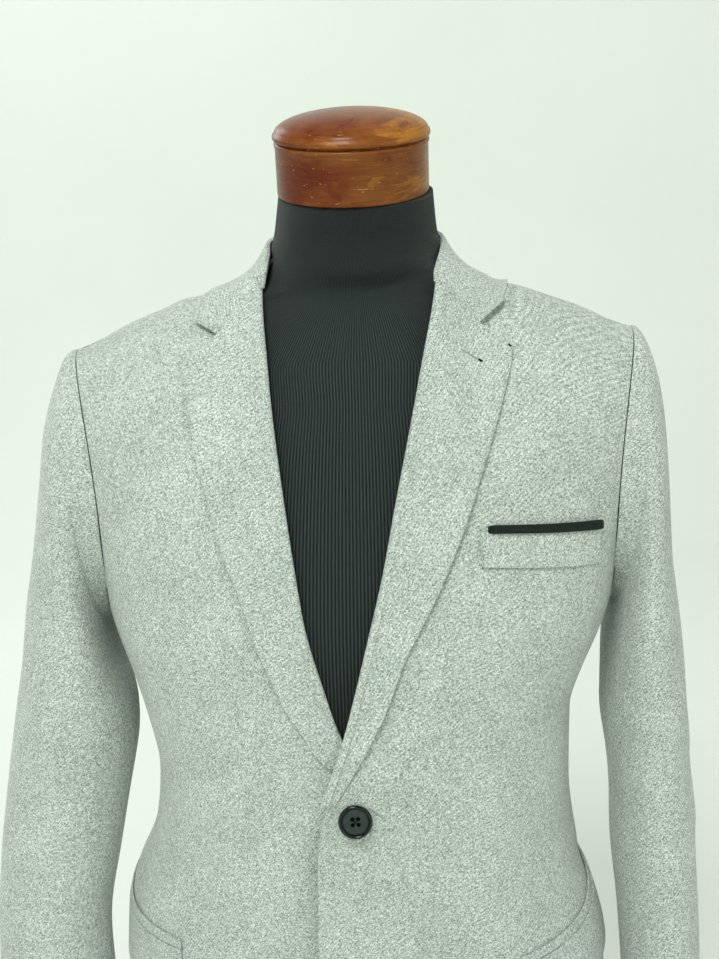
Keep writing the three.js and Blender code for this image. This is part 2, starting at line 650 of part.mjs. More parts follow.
// A solid from stacked closed rings, capped flat at both ends.
function ringMesh(rings) {
  const n = rings[0].length;
  const points = rings.flat();
  const index = [];
  rings.slice(1).forEach((_, v) => {
    for (let u = 0; u < n; u++) {
      const next = (u + 1) % n;
      index.push(v * n + u, v * n + next, (v + 1) * n + next);
      index.push(v * n + u, (v + 1) * n + next, (v + 1) * n + u);
    }
  });
  const middle = (ring) => ring.reduce((sum, p) => sum.add(p), point(0, 0, 0)).divideScalar(n);
  const low = points.length;
  points.push(middle(rings[0]), middle(rings[rings.length - 1]));
  const last = (rings.length - 1) * n;
  for (let u = 0; u < n; u++) {
    const next = (u + 1) % n;
    index.push(low, next, u, low + 1, last + u, last + next);
  }
  return facingOut(points, index);
}

// Builds the geometry and turns its faces outwards if its volume comes out negative.
function facingOut(points, index) {
  let volume = 0;
  for (let i = 0; i < index.length; i += 3) {
    const [a, b, c] = [points[index[i]], points[index[i + 1]], points[index[i + 2]]];
    volume += a.dot(b.clone().cross(c));
  }
  if (volume < 0)
    for (let i = 0; i < index.length; i += 3) [index[i + 1], index[i + 2]] = [index[i + 2], index[i + 1]];
  const geometry = new THREE.BufferGeometry().setFromPoints(points).setIndex(index);
  geometry.computeVertexNormals();
  return geometry;
}

const grid = (across, levels, at) => levels.map((level) => across.map((share) => at(share, level)));

const cloth = (color) => new THREE.MeshStandardMaterial({ color, roughness: 0.95, metalness: 0 });
const garment = new THREE.Group();
function add(name, geometry, material) {
  const mesh = new THREE.Mesh(geometry, material);
  mesh.name = name;
  garment.add(mesh);
}

// Rows are closer together at the rounded hem corner, the waist, the break and the shoulder's top.
const SKIRT_LEVELS = [0.12, 0.24, 0.34, 0.43, 0.5, 0.545, 0.59];
const LOW_LEVELS = [...SKIRT_LEVELS, 0.65, 0.7, 0.745, 0.785, 0.82, 0.86, 0.9, 0.95, 1];
const FRONT_LEVELS = [0, 0.012, 0.035, 0.07, ...LOW_LEVELS, 1.12, 1.26, 1.4, 1.55, 1.7, 1.82, 1.92, 2];
const FRONT_SHARES = [0, 0.07, 0.15, 0.24, 0.34, 0.45, 0.56, 0.67, 0.78, 0.88, 0.95, 1];
const BACK_LEVELS = [0, ...LOW_LEVELS, 1.15, 1.32, 1.5, 1.66, 1.8, 1.91, 2];
const NECK_SHARE = NECK_HALF / (SHOULDER_HALF - 4);
const BACK_SHARES = [0, 0.1, 0.19, 0.26, NECK_SHARE, 0.42, 0.55, 0.68, 0.8, 0.91, 1];

function buildPanels(side) {
  const name = nameOf(side);
  const turned = side === LEFT ? 1 : -1;
  const front = grid(FRONT_SHARES, FRONT_LEVELS, (u, v) => frontPoint(side, u, v));
  add(`front_${name}`, wallMesh(front, WALL, turned), cloth(0xb9c6ba));
  const back = grid(BACK_SHARES, BACK_LEVELS, (u, v) => backPoint(side, u, v));
  add(`back_${name}`, wallMesh(back, WALL, -turned), cloth(0xb2c0b4));
  const body = grid(range(5), [0, ...LOW_LEVELS], (u, v) => sidePoint(side, u, v));
  add(`side_${name}`, wallMesh(body, WALL, turned), cloth(0xaebdb0));
}

function buildLapel(side) {
  const turned = side === LEFT ? 1 : -1;
  const rows = range(15).map((level) => lapelSection(side, level));
  add(`lapel_${nameOf(side)}`, wallMesh(rows, LEAF_WALL, turned), cloth(0xbecabf));
}

function buildCollar() {
  const half = [0, 0.1, 0.2, 0.3, 0.4, 0.5, 0.6, 0.7, 0.78, 0.86, 0.92, 0.965, 1];
  const places = [...half.slice(1).reverse().map((s) => -s), ...half];
  add("collar", wallMesh(places.map(collarSection), LEAF_WALL, -1), cloth(0xbac7bb));
}

function buildSleeve(side) {
  const name = nameOf(side);
  const rings = SLEEVE[name].length;
  const part = (from, to, count) =>
    range(rings).map((ring, v) =>
      [-1 / count, ...range(count), 1 + 1 / count].map((share) => {
        const a = lerp(from(ring), to(ring), share);
        return sleevePoint(side, v, a);
      }),
    );
  const slit = 0.16; // degrees between the two pieces at a seam
  const front = (s) => lerp(...SLEEVE_SEAM_FRONT, s);
  const back = (s) => lerp(...SLEEVE_SEAM_BACK, s);
  const top = part((s) => slit - back(s), (s) => front(s) - slit, 13);
  const under = part((s) => front(s) + slit, (s) => 360 - back(s) - slit, 5);
  const turned = side === LEFT ? 1 : -1;
  add(`sleeve_${name}_top`, wallMesh(top, WALL, turned, 1), cloth(0xb7c5b8));
  add(`sleeve_${name}_under`, wallMesh(under, WALL, turned, 1), cloth(0xa5b5a8));
}

// A patch laid on the wearer's left front, given by its top and bottom line at both ends
function frontPatch({ inner, outer }, rise, thick) {
  const rows = range(2).map((up) =>
    range(8).map((share) => {
      const low = lerp(inner.bottom, outer.bottom, share);
      const high = lerp(inner.top, outer.top, share);
      return offFront(LEFT, lerp(inner.x, outer.x, share), lerp(low, high, up), rise);
    }),
  );
  return wallMesh(rows, thick, 1);
}

// Point on the outside of the skirt, round the front and the side body together
function skirtPoint(side, share, z, rise) {
  const hip = HIP[nameOf(side)];
  const width = bodyWidth[nameOf(side)](z);
  const from = -seamAngle(hip.front / width);
  const to = Math.asin((hip.backY / bodyBack(z)) ** (SQUARENESS / 2));
  const angle = lerp(from, to, share);
  const step = 0.01;
  const here = ringPoint(side, angle, z);
  const along = ringPoint(side, angle + step, z).sub(ringPoint(side, angle - step, z));
  const up = ringPoint(side, angle, z + 1).sub(ringPoint(side, angle, z - 1));
  const normal = along.cross(up).normalize().multiplyScalar(side);
  return here.addScaledVector(normal, rise).add(point(0, -SEAM_GAP / 2, 0));
}

function buildHipPocket(side) {
  const name = nameOf(side);
  const hip = HIP[name];
  const turned = side === LEFT ? 1 : -1;
  const strip = (lowBy, highBy, rise, thick, count) =>
    wallMesh(
      range(count).map((up) =>
        range(12).map((share) => {
          const mouth = lerp(hip.mouthFront, hip.mouthBack, share);
          return skirtPoint(side, share, mouth + lerp(lowBy, highBy, up), rise);
        }),
      ),
      thick,
      turned,
    );
  add(`hip_jet_${name}`, strip(0.6, JET_HEIGHT, JET_RISE, 1.4, 1), cloth(0xb4c2b5));
  add(`hip_flap_${name}`, strip(-FLAP_HEIGHT, 0, FLAP_RISE, WALL, 4), cloth(0xb4c2b5));
}

// Four-hole button with a raised rim, turned a little up and outwards on its shank
function buildButton() {
  const { radius, thick, rimWidth, hole, pitch } = BUTTON;
  const disc = new THREE.Shape().absarc(0, 0, radius - rimWidth, 0, 2 * Math.PI);
  [-1, 1].forEach((i) =>
    [-1, 1].forEach((j) =>
      disc.holes.push(new THREE.Path().absarc((i * pitch) / 2, (j * pitch) / 2, hole, 0, 2 * Math.PI)),
    ),
  );
  const sunk = thick * 0.55; // height of the face inside the rim
  const face = new THREE.ExtrudeGeometry(disc, { depth: sunk, bevelEnabled: false, curveSegments: 8 });
  const rim = new THREE.Shape().absarc(0, 0, radius, 0, 2 * Math.PI);
  rim.holes.push(new THREE.Path().absarc(0, 0, radius - rimWidth + 0.3, 0, 2 * Math.PI));
  const ring = new THREE.ExtrudeGeometry(rim, { depth: thick, bevelEnabled: false, curveSegments: 14 });
  const seat = frontSurface(LEFT, BUTTON.x, BUTTON.z);
  const dark = new THREE.MeshStandardMaterial({ color: 0x39443f, roughness: 0.35, metalness: 0 });
  [["button_face", face], ["button_rim", ring]].forEach(([name, geometry]) => {
    const mesh = new THREE.Mesh(geometry, dark);
    mesh.name = name;
    mesh.position.set(BUTTON.x, seat.y - 2.7, BUTTON.z);
    mesh.rotation.set(THREE.MathUtils.degToRad(83), 0, THREE.MathUtils.degToRad(2));
    garment.add(mesh);
  });
}

// Dress form: the body's own sections, smaller, then the neck
const formSide = (side, z) =>
  Math.min(bodyWidth[nameOf(side)](z) - WALL - lerp(16, 3.4, smooth(300, 600, z)), FORM_SIDE);
function formTop(x) {
  const out = Math.abs(x - shoulderCentre(x));
  return shoulderZ(x) - lerp(FORM_TOP_CLEAR.neck, FORM_TOP_CLEAR.shoulder, smooth(105, 140, out));
}
function formDepth(side, x, z, front) {
  const half = formSide(side, z);
  const across = ellipse(Math.abs(x - centreX(z)) / half);
  const rise = (formTop(x) - z) / (front ? CHEST_SLOPE : BACK_SLOPE);
  const gap = lerp(12, front ? FORM_FRONT_CLEAR : FORM_BACK_CLEAR, smooth(300, 520, z));
  return ((front ? bodyFront(z) : bodyBack(z)) - gap) * across * slope(rise);
}
function formHalf(side, z) {
  let out = formSide(side, z);
  while (out > 40 && formTop(centreX(z) + side * out) <= z) out -= 0.25;
  return out;
}
function formRing(z) {
  return range(FORM_SEGMENTS).slice(0, -1).map((turn) => {
    const a = 2 * Math.PI * turn;
    const side = Math.cos(a) < 0 ? RIGHT : LEFT;
    const front = Math.sin(a) < 0;
    const x = centreX(z) + formHalf(side, z) * Math.cos(a);
    const shoulder = formDepth(side, x, z, front);
    const fromNeck = clamp(Math.abs(x - NECK.x) / NECK.half, 0, 1);
    const throat = NECK.depth * Math.sqrt(1 - fromNeck ** 2) - (front ? 1 : -1) * NECK.y;
    const collar = smooth(800, 858, z);
    const depth = Math.max(shoulder, lerp(0, throat, collar) * (front ? 1 : 0.94));
    const torso = point(x, (front ? -1 : 1) * depth, z);
    const column = point(NECK.x + NECK.half * Math.cos(a), NECK.y + NECK.depth * Math.sin(a), z);
    return torso.lerp(column, smooth(846, 872, z));
  });
}
function neckRing(share) {
  const tilt = NECK_TILT * share;
  const part = share ** 0.72; // the neck draws in fastest just over the shoulders
  const half = lerp(NECK.half, NECK_TOP.half, part);
  const depth = lerp(NECK.depth, NECK_TOP.depth, part);
  const x = lerp(NECK.x, NECK_TOP.x, share);
  const y = lerp(NECK.y, NECK_TOP.y, share);
  const z = lerp(NECK.z, NECK_TOP.z, share);
  return range(FORM_SEGMENTS).slice(0, -1).map((turn) => {
    const a = 2 * Math.PI * turn;
    const deep = depth * Math.sin(a);
    return point(x + half * Math.cos(a), y + deep * Math.cos(tilt), z + deep * Math.sin(tilt));
  });
}

function buildForm() {
  const low = [170, 220, 270, 320, 365, 400, 440, 480, 520, 560, 600, 650, 700, 740];
  const high = [770, 788, 800, 808, 816, 823, 829, 834, 839, 843, 847, 851, 856, 861, 867];
  const rings = [...[...low, ...high].map(formRing), ...range(4).map(neckRing)];
  rings[0].forEach((p) => p.setZ(FORM_BOTTOM));
  add("form_torso", ringMesh(rings), cloth(0x232c2b));
}

function buildCap() {
  const { radius, rim, groove, grooveAt, grooveHalf, rimAt, dome } = CAP;
  const profile = [
    [0, 0],
    [radius - 1, 0],
    [radius, 1.2],
    [radius - 0.3, grooveAt - grooveHalf],
    [groove - 1, grooveAt],
    [rim - 0.4, grooveAt + grooveHalf],
    [rim, rimAt - 1],
    [rim - 1.4, rimAt + 1.4],
    ...range(6).slice(1).map((share) => {
      const a = (share * Math.PI) / 2;
      return [(rim - 3) * Math.cos(a), rimAt + 2 + (dome - 2) * Math.sin(a)];
    }),
  ].map(([r, h]) => new THREE.Vector2(Math.max(0, r), h));
  profile[profile.length - 1].x = 0;
  const lathe = new THREE.LatheGeometry(profile, FORM_SEGMENTS).rotateX(Math.PI / 2);
  const mesh = new THREE.Mesh(lathe, new THREE.MeshStandardMaterial({ color: 0x7d4526, roughness: 0.35 }));
  mesh.name = "neck_cap";
  const lift = SEAM_GAP;
  const top = { y: NECK_TOP.y - lift * Math.sin(NECK_TILT), z: NECK_TOP.z + lift * Math.cos(NECK_TILT) };
  mesh.position.set(NECK.x, top.y, top.z);
  mesh.rotation.x = NECK_TILT;
  garment.add(mesh);
}

function buildStand() {
  const metal = new THREE.MeshStandardMaterial({ color: 0x2b2d2c, roughness: 0.4, metalness: 0.8 });
  const { radius, thick, bevel } = BASE;
  const plate = [[0, 0], [radius, 0], [radius, thick - bevel], [radius - bevel, thick], [0, thick]];
  const lathe = (profile) =>
    new THREE.LatheGeometry(profile.map(([r, h]) => new THREE.Vector2(r, h)), 48).rotateX(Math.PI / 2);
  add("base_plate", lathe(plate), metal);
  const foot = thick + SEAM_GAP;
  const head = FORM_BOTTOM - SEAM_GAP;
  const flange = [[0, foot], [22, foot], [22, foot + 6], [POLE_RADIUS, foot + 12]];
  const pole = [...flange, [POLE_RADIUS, head], [0, head]];
  add("pole", lathe(pole), metal);
}

[RIGHT, LEFT].forEach((side) => {
  buildPanels(side);
  buildLapel(side);
  buildSleeve(side);
  buildHipPocket(side);
});
buildCollar();
add("breast_welt", frontPatch(WELT, 2.1, 1.6), cloth(0xb9c6ba));
add("breast_piping", frontPatch(PIPING, 4.4, 1.9), cloth(0x1c2422));
buildButton();
buildForm();
buildCap();
buildStand();

export default garment;
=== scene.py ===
# Looks of a men's wool blazer on a countertop dress form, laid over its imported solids.
# Metres, +Z up. The front faces -Y and +X is the wearer's left.
import logging
import math
from collections.abc import Sequence
from dataclasses import dataclass, field
from enum import Enum

import bmesh
import bpy
import numpy as np
from mathutils import Matrix, Vector
from mathutils.bvhtree import BVHTree


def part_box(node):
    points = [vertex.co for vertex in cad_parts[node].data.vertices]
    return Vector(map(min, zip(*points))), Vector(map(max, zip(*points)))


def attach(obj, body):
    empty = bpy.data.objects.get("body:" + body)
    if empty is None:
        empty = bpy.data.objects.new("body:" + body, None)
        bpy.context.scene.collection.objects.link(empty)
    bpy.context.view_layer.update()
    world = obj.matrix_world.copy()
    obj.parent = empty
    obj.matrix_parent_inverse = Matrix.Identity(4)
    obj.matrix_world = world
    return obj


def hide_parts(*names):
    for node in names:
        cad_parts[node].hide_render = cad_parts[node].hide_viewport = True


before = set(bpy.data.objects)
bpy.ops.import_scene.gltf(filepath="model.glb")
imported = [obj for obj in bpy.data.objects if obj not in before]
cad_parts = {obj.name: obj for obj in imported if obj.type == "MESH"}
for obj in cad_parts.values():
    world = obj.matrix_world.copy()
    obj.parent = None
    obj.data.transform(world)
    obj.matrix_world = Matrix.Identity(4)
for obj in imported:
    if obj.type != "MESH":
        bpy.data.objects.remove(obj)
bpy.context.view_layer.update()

MM = 0.001
IMAGE_WIDTH = 719
IMAGE_HEIGHT = 959
WEAVE_MAP = "weave"
NECK_AT = (0.0085, -0.02, 0.9155)  # middle of the wooden cap's underside, in metres
NECK_TILT = 14.5  # degrees that the cap leans forwards
SHARP_RIM = math.radians(70)  # a wall's end turns by more than this
MERGE = 0.02 * MM
WAVE_PERIOD = math.pi / 10  # length of a wave texture's band at scale 1
TINT = {"data_type": "RGBA", "blend_type": "MULTIPLY"}
MULTIPLY_ADD = {"operation": "MULTIPLY_ADD"}
log = logging.getLogger("blazer")

Inputs = dict[str | int, object]
Span = tuple[float, float]


class Held(Enum):
    """How a piece of cloth is held."""

    OVER_FORM = "draped"
    SLEEVE = "hung"
    LAPEL = "folded"
    PATCH = "laid"


class Lie(Enum):
    """How a stitch lies on its row, as a turn in radians."""

    ALONG = 0.0
    ACROSS = math.pi / 2


# Colour, nodes and meshes


def linear(code: str) -> tuple[float, float, float, float]:
    """Turns an sRGB hex colour to linear light.

    Args:
        code: six hex digits after a hash.

    Returns:
        Linear red, green, blue and an alpha of 1.
    """
    parts = [int(code[i : i + 2], 16) / 255 for i in (1, 3, 5)]
    turned = [c / 12.92 if c <= 0.04045 else ((c + 0.055) / 1.055) ** 2.4 for c in parts]
    return (turned[0], turned[1], turned[2], 1.0)


def add_node(
    tree: bpy.types.NodeTree,
    kind: str,
    inputs: Inputs | None = None,
    settings: dict[str, object] | None = None,
) -> bpy.types.Node:
    """Adds a node with its settings, values and links.

    Args:
        tree: the tree that gets the node.
        kind: the node's type name.
        inputs: for each input, by name or number, a value, a socket or a node whose first output it takes.
        settings: its properties; "stops" fills a colour ramp with (place, hex colour) pairs.

    Returns:
        The new node.
    """
    node = tree.nodes.new(kind)
    for key, value in (settings or {}).items():
        if key == "stops":
            elements = node.color_ramp.elements
            while len(elements) < len(value):
                elements.new(0.5)
            for element, (place, colour) in zip(elements, value):
                element.position = place
                element.color = linear(colour)
        else:
            setattr(node, key, value)
    for key, value in (inputs or {}).items():
        source = value.outputs[0] if isinstance(value, bpy.types.Node) else value
        if isinstance(source, bpy.types.NodeSocket):
            tree.links.new(source, node.inputs[key])
        else:
            node.inputs[key].default_value = source
    return node


def new_material(name: str) -> tuple[bpy.types.Material, bpy.types.NodeTree]:
    """Makes a material with an empty tree.

    Args:
        name: the finish's plain name.

    Returns:
        The material and its node tree.
    """
    material = bpy.data.materials.new(name)
    material.use_nodes = True
    material.node_tree.nodes.clear()
    return material, material.node_tree


def add_surface(tree: bpy.types.NodeTree, inputs: Inputs) -> None:
    """Ends a material's tree with one Principled shader that has these inputs."""
    shader = add_node(tree, "ShaderNodeBsdfPrincipled", inputs)
    add_node(tree, "ShaderNodeOutputMaterial", {"Surface": shader})


def new_object(name: str, data: bpy.types.ID) -> bpy.types.Object:
    """Puts a mesh, lamp or camera in the scene.

    Args:
        name: the object's name.
        data: what it shows.

    Returns:
        The object, at the origin.
    """
    made = bpy.data.objects.new(name, data)
    bpy.context.scene.collection.objects.link(made)
    return made


def new_piece(name: str, mesh: bpy.types.Mesh, material: bpy.types.Material) -> bpy.types.Object:
    """Puts a mesh in the scene, smooth shaded and in one material.

    Args:
        name: the piece's name.
        mesh: its mesh, in place.
        material: its finish.

    Returns:
        The piece.
    """
    mesh.name = name
    mesh.materials.clear()
    mesh.materials.append(material)
    mesh.shade_smooth()
    return new_object(name, mesh)


def apply_modifiers(piece: bpy.types.Object) -> None:
    """Applies a piece's modifiers to its mesh, takes them off and shades it smooth.

    Args:
        piece: the piece.
    """
    depsgraph = bpy.context.evaluated_depsgraph_get()
    mesh = bpy.data.meshes.new_from_object(piece.evaluated_get(depsgraph))
    piece.modifiers.clear()
    old = piece.data
    piece.data = mesh
    mesh.name = piece.name
    mesh.shade_smooth()
    bpy.data.meshes.remove(old)


def roll_edges(piece: bpy.types.Object, width: float, angle: float = 55, segments: int = 2) -> None:
    """Rounds a piece's sharp edges.

    Args:
        piece: the piece.
        width: millimetres that the rounding takes on each side.
        angle: an edge that turns by more degrees than this is sharp.
        segments: faces across the rounding.
    """
    roll = piece.modifiers.new("edge roll", "BEVEL")
    roll.width = width * MM
    roll.segments = segments
    roll.limit_method = "ANGLE"
    roll.angle_limit = math.radians(angle)
    apply_modifiers(piece)


def points_of(mesh: bpy.types.Mesh) -> np.ndarray:
    """Reads a mesh's vertices.

    Args:
        mesh: the mesh.

    Returns:
        Their places, in an array of shape (count, 3).
    """
    flat = np.zeros(len(mesh.vertices) * 3)
    mesh.vertices.foreach_get("co", flat)
    return flat.reshape(-1, 3)


def set_points(mesh: bpy.types.Mesh, points: np.ndarray) -> None:
    """Moves the mesh's vertices to the given points."""
    mesh.vertices.foreach_set("co", points.reshape(-1))
    mesh.update()


def add_weave_map(mesh: bpy.types.Mesh, places: np.ndarray) -> None:
    """Stores each vertex's place on the flat cloth as a UV map.

    Args:
        mesh: the cloth's mesh.
        places: millimetres across and up the weave, for each vertex.
    """
    layer = mesh.uv_layers.get(WEAVE_MAP) or mesh.uv_layers.new(name=WEAVE_MAP)
    corners = np.zeros(len(mesh.loops), dtype=np.int32)
    mesh.loops.foreach_get("vertex_index", corners)
    layer.data.foreach_set("uv", places[corners].astype(np.float32).reshape(-1))


def ride(piece: bpy.types.Object, slot: str, *nodes: str) -> None:
    """Rides a finished piece on the part's one body and reports it.

    Args:
        piece: the piece.
        slot: a name for its finish; not used.
        nodes: the nodes that it stands for.
    """
    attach(piece, "root")
    if nodes:
        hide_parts(*nodes)
    log.info("%s: %d faces", piece.name, len(piece.data.polygons))


def cage_of(node: str, rim: float = 1.0) -> bpy.types.Mesh:
    """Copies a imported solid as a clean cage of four-sided faces, creased where its wall ends.

    Args:
        node: the solid's name.
        rim: how sharp the wall's end stays, from 0 for round to 1.

    Returns:
        The cage's mesh.
    """
    shape = bmesh.new()
    shape.from_mesh(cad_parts[node].data)
    bmesh.ops.remove_doubles(shape, verts=shape.verts, dist=MERGE)
    bmesh.ops.join_triangles(
        shape,
        faces=shape.faces,
        angle_face_threshold=math.radians(60),
        angle_shape_threshold=math.radians(120),
    )
    crease = shape.edges.layers.float.new("crease_edge")
    for edge in shape.edges:
        if len(edge.link_faces) == 2 and edge.calc_face_angle() > SHARP_RIM:
            edge[crease] = rim
    mesh = bpy.data.meshes.new(node)
    shape.to_mesh(mesh)
    shape.free()
    return mesh


def smoothed(
    name: str, cage: bpy.types.Mesh, material: bpy.types.Material, levels: int, passes: int = 4
) -> bpy.types.Object:
    """Subdivides a cage so that the smooth surface still runs through the cage's own corners.

    Args:
        name: the new piece's name.
        cage: the coarse mesh.
        material: the piece's finish.
        levels: how many times each face is split.
        passes: how often the cage is corrected.

    Returns:
        The piece, with a plain mesh.
    """
    piece = new_piece(name, cage, material)
    wanted = points_of(cage)
    splitter = piece.modifiers.new("smooth", "SUBSURF")
    splitter.levels = splitter.render_levels = 1
    moved = wanted.copy()
    for _ in range(passes):
        depsgraph = bpy.context.evaluated_depsgraph_get()
        limit = points_of(piece.evaluated_get(depsgraph).data)[: len(wanted)]
        moved += wanted - limit
        set_points(cage, moved)
    splitter.levels = splitter.render_levels = levels
    apply_modifiers(piece)
    return piece


def lathe(profile: Sequence[Span], segments: int) -> bpy.types.Mesh:
    """Turns a profile round the Z axis.

    Args:
        profile: (radius, height) pairs in metres, upwards on the outside.
        segments: faces round the axis.

    Returns:
        The turned mesh. Where the profile ends on the axis or where it began, it is closed and its
        normals point outwards.
    """
    shape = bmesh.new()
    angles = [2 * math.pi * i / segments for i in range(segments)]
    rings: list[list[bmesh.types.BMVert]] = []
    for radius, height in profile:
        around = angles if radius else [0.0]
        rings.append([shape.verts.new((radius * math.cos(a), radius * math.sin(a), height)) for a in around])
    for low, high in zip(rings, rings[1:]):
        for i in range(segments):
            j = (i + 1) % segments
            corners = [low[i % len(low)], low[j % len(low)], high[j % len(high)], high[i % len(high)]]
            shape.faces.new(list(dict.fromkeys(corners)))
    bmesh.ops.remove_doubles(shape, verts=shape.verts, dist=1e-7)
    bmesh.ops.recalc_face_normals(shape, faces=shape.faces)
    mesh = bpy.data.meshes.new("turned")
    shape.to_mesh(mesh)
    shape.free()
    return mesh


# Finishes


@dataclass(frozen=True)
class WoolTwill:
    """Woven melange wool twill with a brushed nap: broken diagonal wales of pale and grey-green yarn."""

    name: str = "wool_twill_brushed"
    pale: str = "#eaefea"
    mid: str = "#b6bfb7"
    deep: str = "#75827a"
    cast: str = "#b7c3b2"  # greener patches in the dye
    wale: float = 2.3  # millimetres from one diagonal to the next
    speck: float = 0.74  # size of a yarn's show between crossings
    tuft: float = 1.5  # size of the patches where pale or dark yarns gather
    cloud: float = 55  # size of the soft tone changes from pressing
    turn: float = 42  # degrees of the diagonal from the weft

    def material(self) -> bpy.types.Material:
        """Builds the cloth's material: wales and clouds on the weave map, yarns on Object coordinates.

        Returns:
            The material.
        """
        material, tree = new_material(self.name)
        weave = add_node(tree, "ShaderNodeUVMap", None, {"uv_map": WEAVE_MAP})
        place = add_node(tree, "ShaderNodeTexCoord").outputs["Object"]
        diagonal = (0, 0, math.radians(-self.turn))
        wales = add_node(
            tree,
            "ShaderNodeTexWave",
            {
                "Vector": add_node(tree, "ShaderNodeMapping", {"Vector": weave, "Rotation": diagonal}),
                "Scale": WAVE_PERIOD / self.wale,
                "Distortion": 3.5,
                "Detail": 2.0,
                "Detail Scale": 3.2,
                "Detail Roughness": 0.6,
            },
            {"bands_direction": "Y"},
        ).outputs[1]
        yarns = {"Vector": place, "Scale": 1000 / self.speck}
        specks = add_node(tree, "ShaderNodeTexVoronoi", yarns).outputs["Color"]
        gathered = {"Vector": place, "Scale": 1000 / self.tuft, "Detail": 4.0, "Roughness": 0.75}
        tufts = add_node(tree, "ShaderNodeTexNoise", gathered)
        clouded = {"Vector": weave, "Scale": 1 / self.cloud, "Detail": 2.0}
        cloud = add_node(tree, "ShaderNodeTexNoise", clouded)
        relief = add_node(tree, "ShaderNodeMath", {0: wales, 1: 0.12, 2: tufts}, MULTIPLY_ADD)
        mixed = add_node(tree, "ShaderNodeMath", {0: specks, 1: 0.7, 2: relief}, MULTIPLY_ADD)
        spread = add_node(tree, "ShaderNodeMapRange", {"Value": mixed, "From Min": 0.6, "From Max": 1.23})
        shades = [(0.0, self.deep), (0.5, self.mid), (1.0, self.pale)]
        tone = add_node(tree, "ShaderNodeValToRGB", {0: spread}, {"stops": shades})
        pressed = {"Value": cloud, "From Min": 0.35, "From Max": 0.65, "To Max": 0.2}
        shade = add_node(tree, "ShaderNodeMapRange", pressed)
        colour = add_node(tree, "ShaderNodeMix", {0: shade, 6: tone, 7: linear(self.cast)}, TINT).outputs[2]
        bump = add_node(tree, "ShaderNodeBump", {"Strength": 0.4, "Distance": 0.4 * MM, "Height": relief})
        looks = {"Roughness": 0.92, "Specular IOR Level": 0.2, "Sheen Weight": 0.22, "Sheen Roughness": 0.55}
        add_surface(tree, {**looks, "Base Color": colour, "Normal": bump})
        return material


@dataclass(frozen=True)
class RibKnit:
    """Fine black-slate rib knit, drawn tight over the form: upright ribs that close up at the neck, with
    painted shade in the valleys between them.
    """

    name: str = "rib_knit_cotton"
    crest: str = "#313b3a"
    # near-black painted shade for the valleys between the ribs
    shaded_valley: str = "#070b0b"
    rib: float = 2.4  # millimetres from rib to rib at the chest
    loop: float = 1.6  # height of a knitted loop
    neck: Span = (0.81, 0.885)  # heights in metres between which the ribs fade by half

    def material(self) -> bpy.types.Material:
        """Builds the knit's material from its weave map.

        Returns:
            The material.
        """
        material, tree = new_material(self.name)
        weave = add_node(tree, "ShaderNodeUVMap", None, {"uv_map": WEAVE_MAP})
        upright = {"Vector": weave, "Scale": WAVE_PERIOD / self.rib, "Distortion": 0.25, "Detail": 1.0}
        ribs = add_node(tree, "ShaderNodeTexWave", upright).outputs[1]
        level = {"Vector": weave, "Scale": WAVE_PERIOD / self.loop, "Distortion": 1.5, "Detail": 1.0}
        loops = add_node(tree, "ShaderNodeTexWave", level, {"bands_direction": "Y"}).outputs[1]
        place = add_node(tree, "ShaderNodeTexCoord").outputs["Object"]
        height = add_node(tree, "ShaderNodeSeparateXYZ", {0: place}).outputs[2]
        low, high = self.neck
        plain = add_node(
            tree,
            "ShaderNodeMapRange",
            {"Value": height, "From Min": low, "From Max": high, "To Min": 1.0, "To Max": 0.5},
        )
        relief = add_node(tree, "ShaderNodeMath", {0: ribs, 1: plain}, {"operation": "MULTIPLY"})
        knit = add_node(tree, "ShaderNodeMath", {0: loops, 1: 0.15, 2: relief}, MULTIPLY_ADD)
        # The ramp paints shade into the ribs' valleys: the lower the relief, the darker the knit.
        shades = [(0.05, self.shaded_valley), (0.95, self.crest)]
        colour = add_node(tree, "ShaderNodeValToRGB", {0: knit}, {"stops": shades})
        bump = add_node(tree, "ShaderNodeBump", {"Strength": 0.7, "Distance": 0.5 * MM, "Height": knit})
        looks = {"Roughness": 0.85, "Specular IOR Level": 0.25, "Sheen Weight": 0.1, "Sheen Roughness": 0.5}
        add_surface(tree, {**looks, "Base Color": colour, "Normal": bump})
        return material


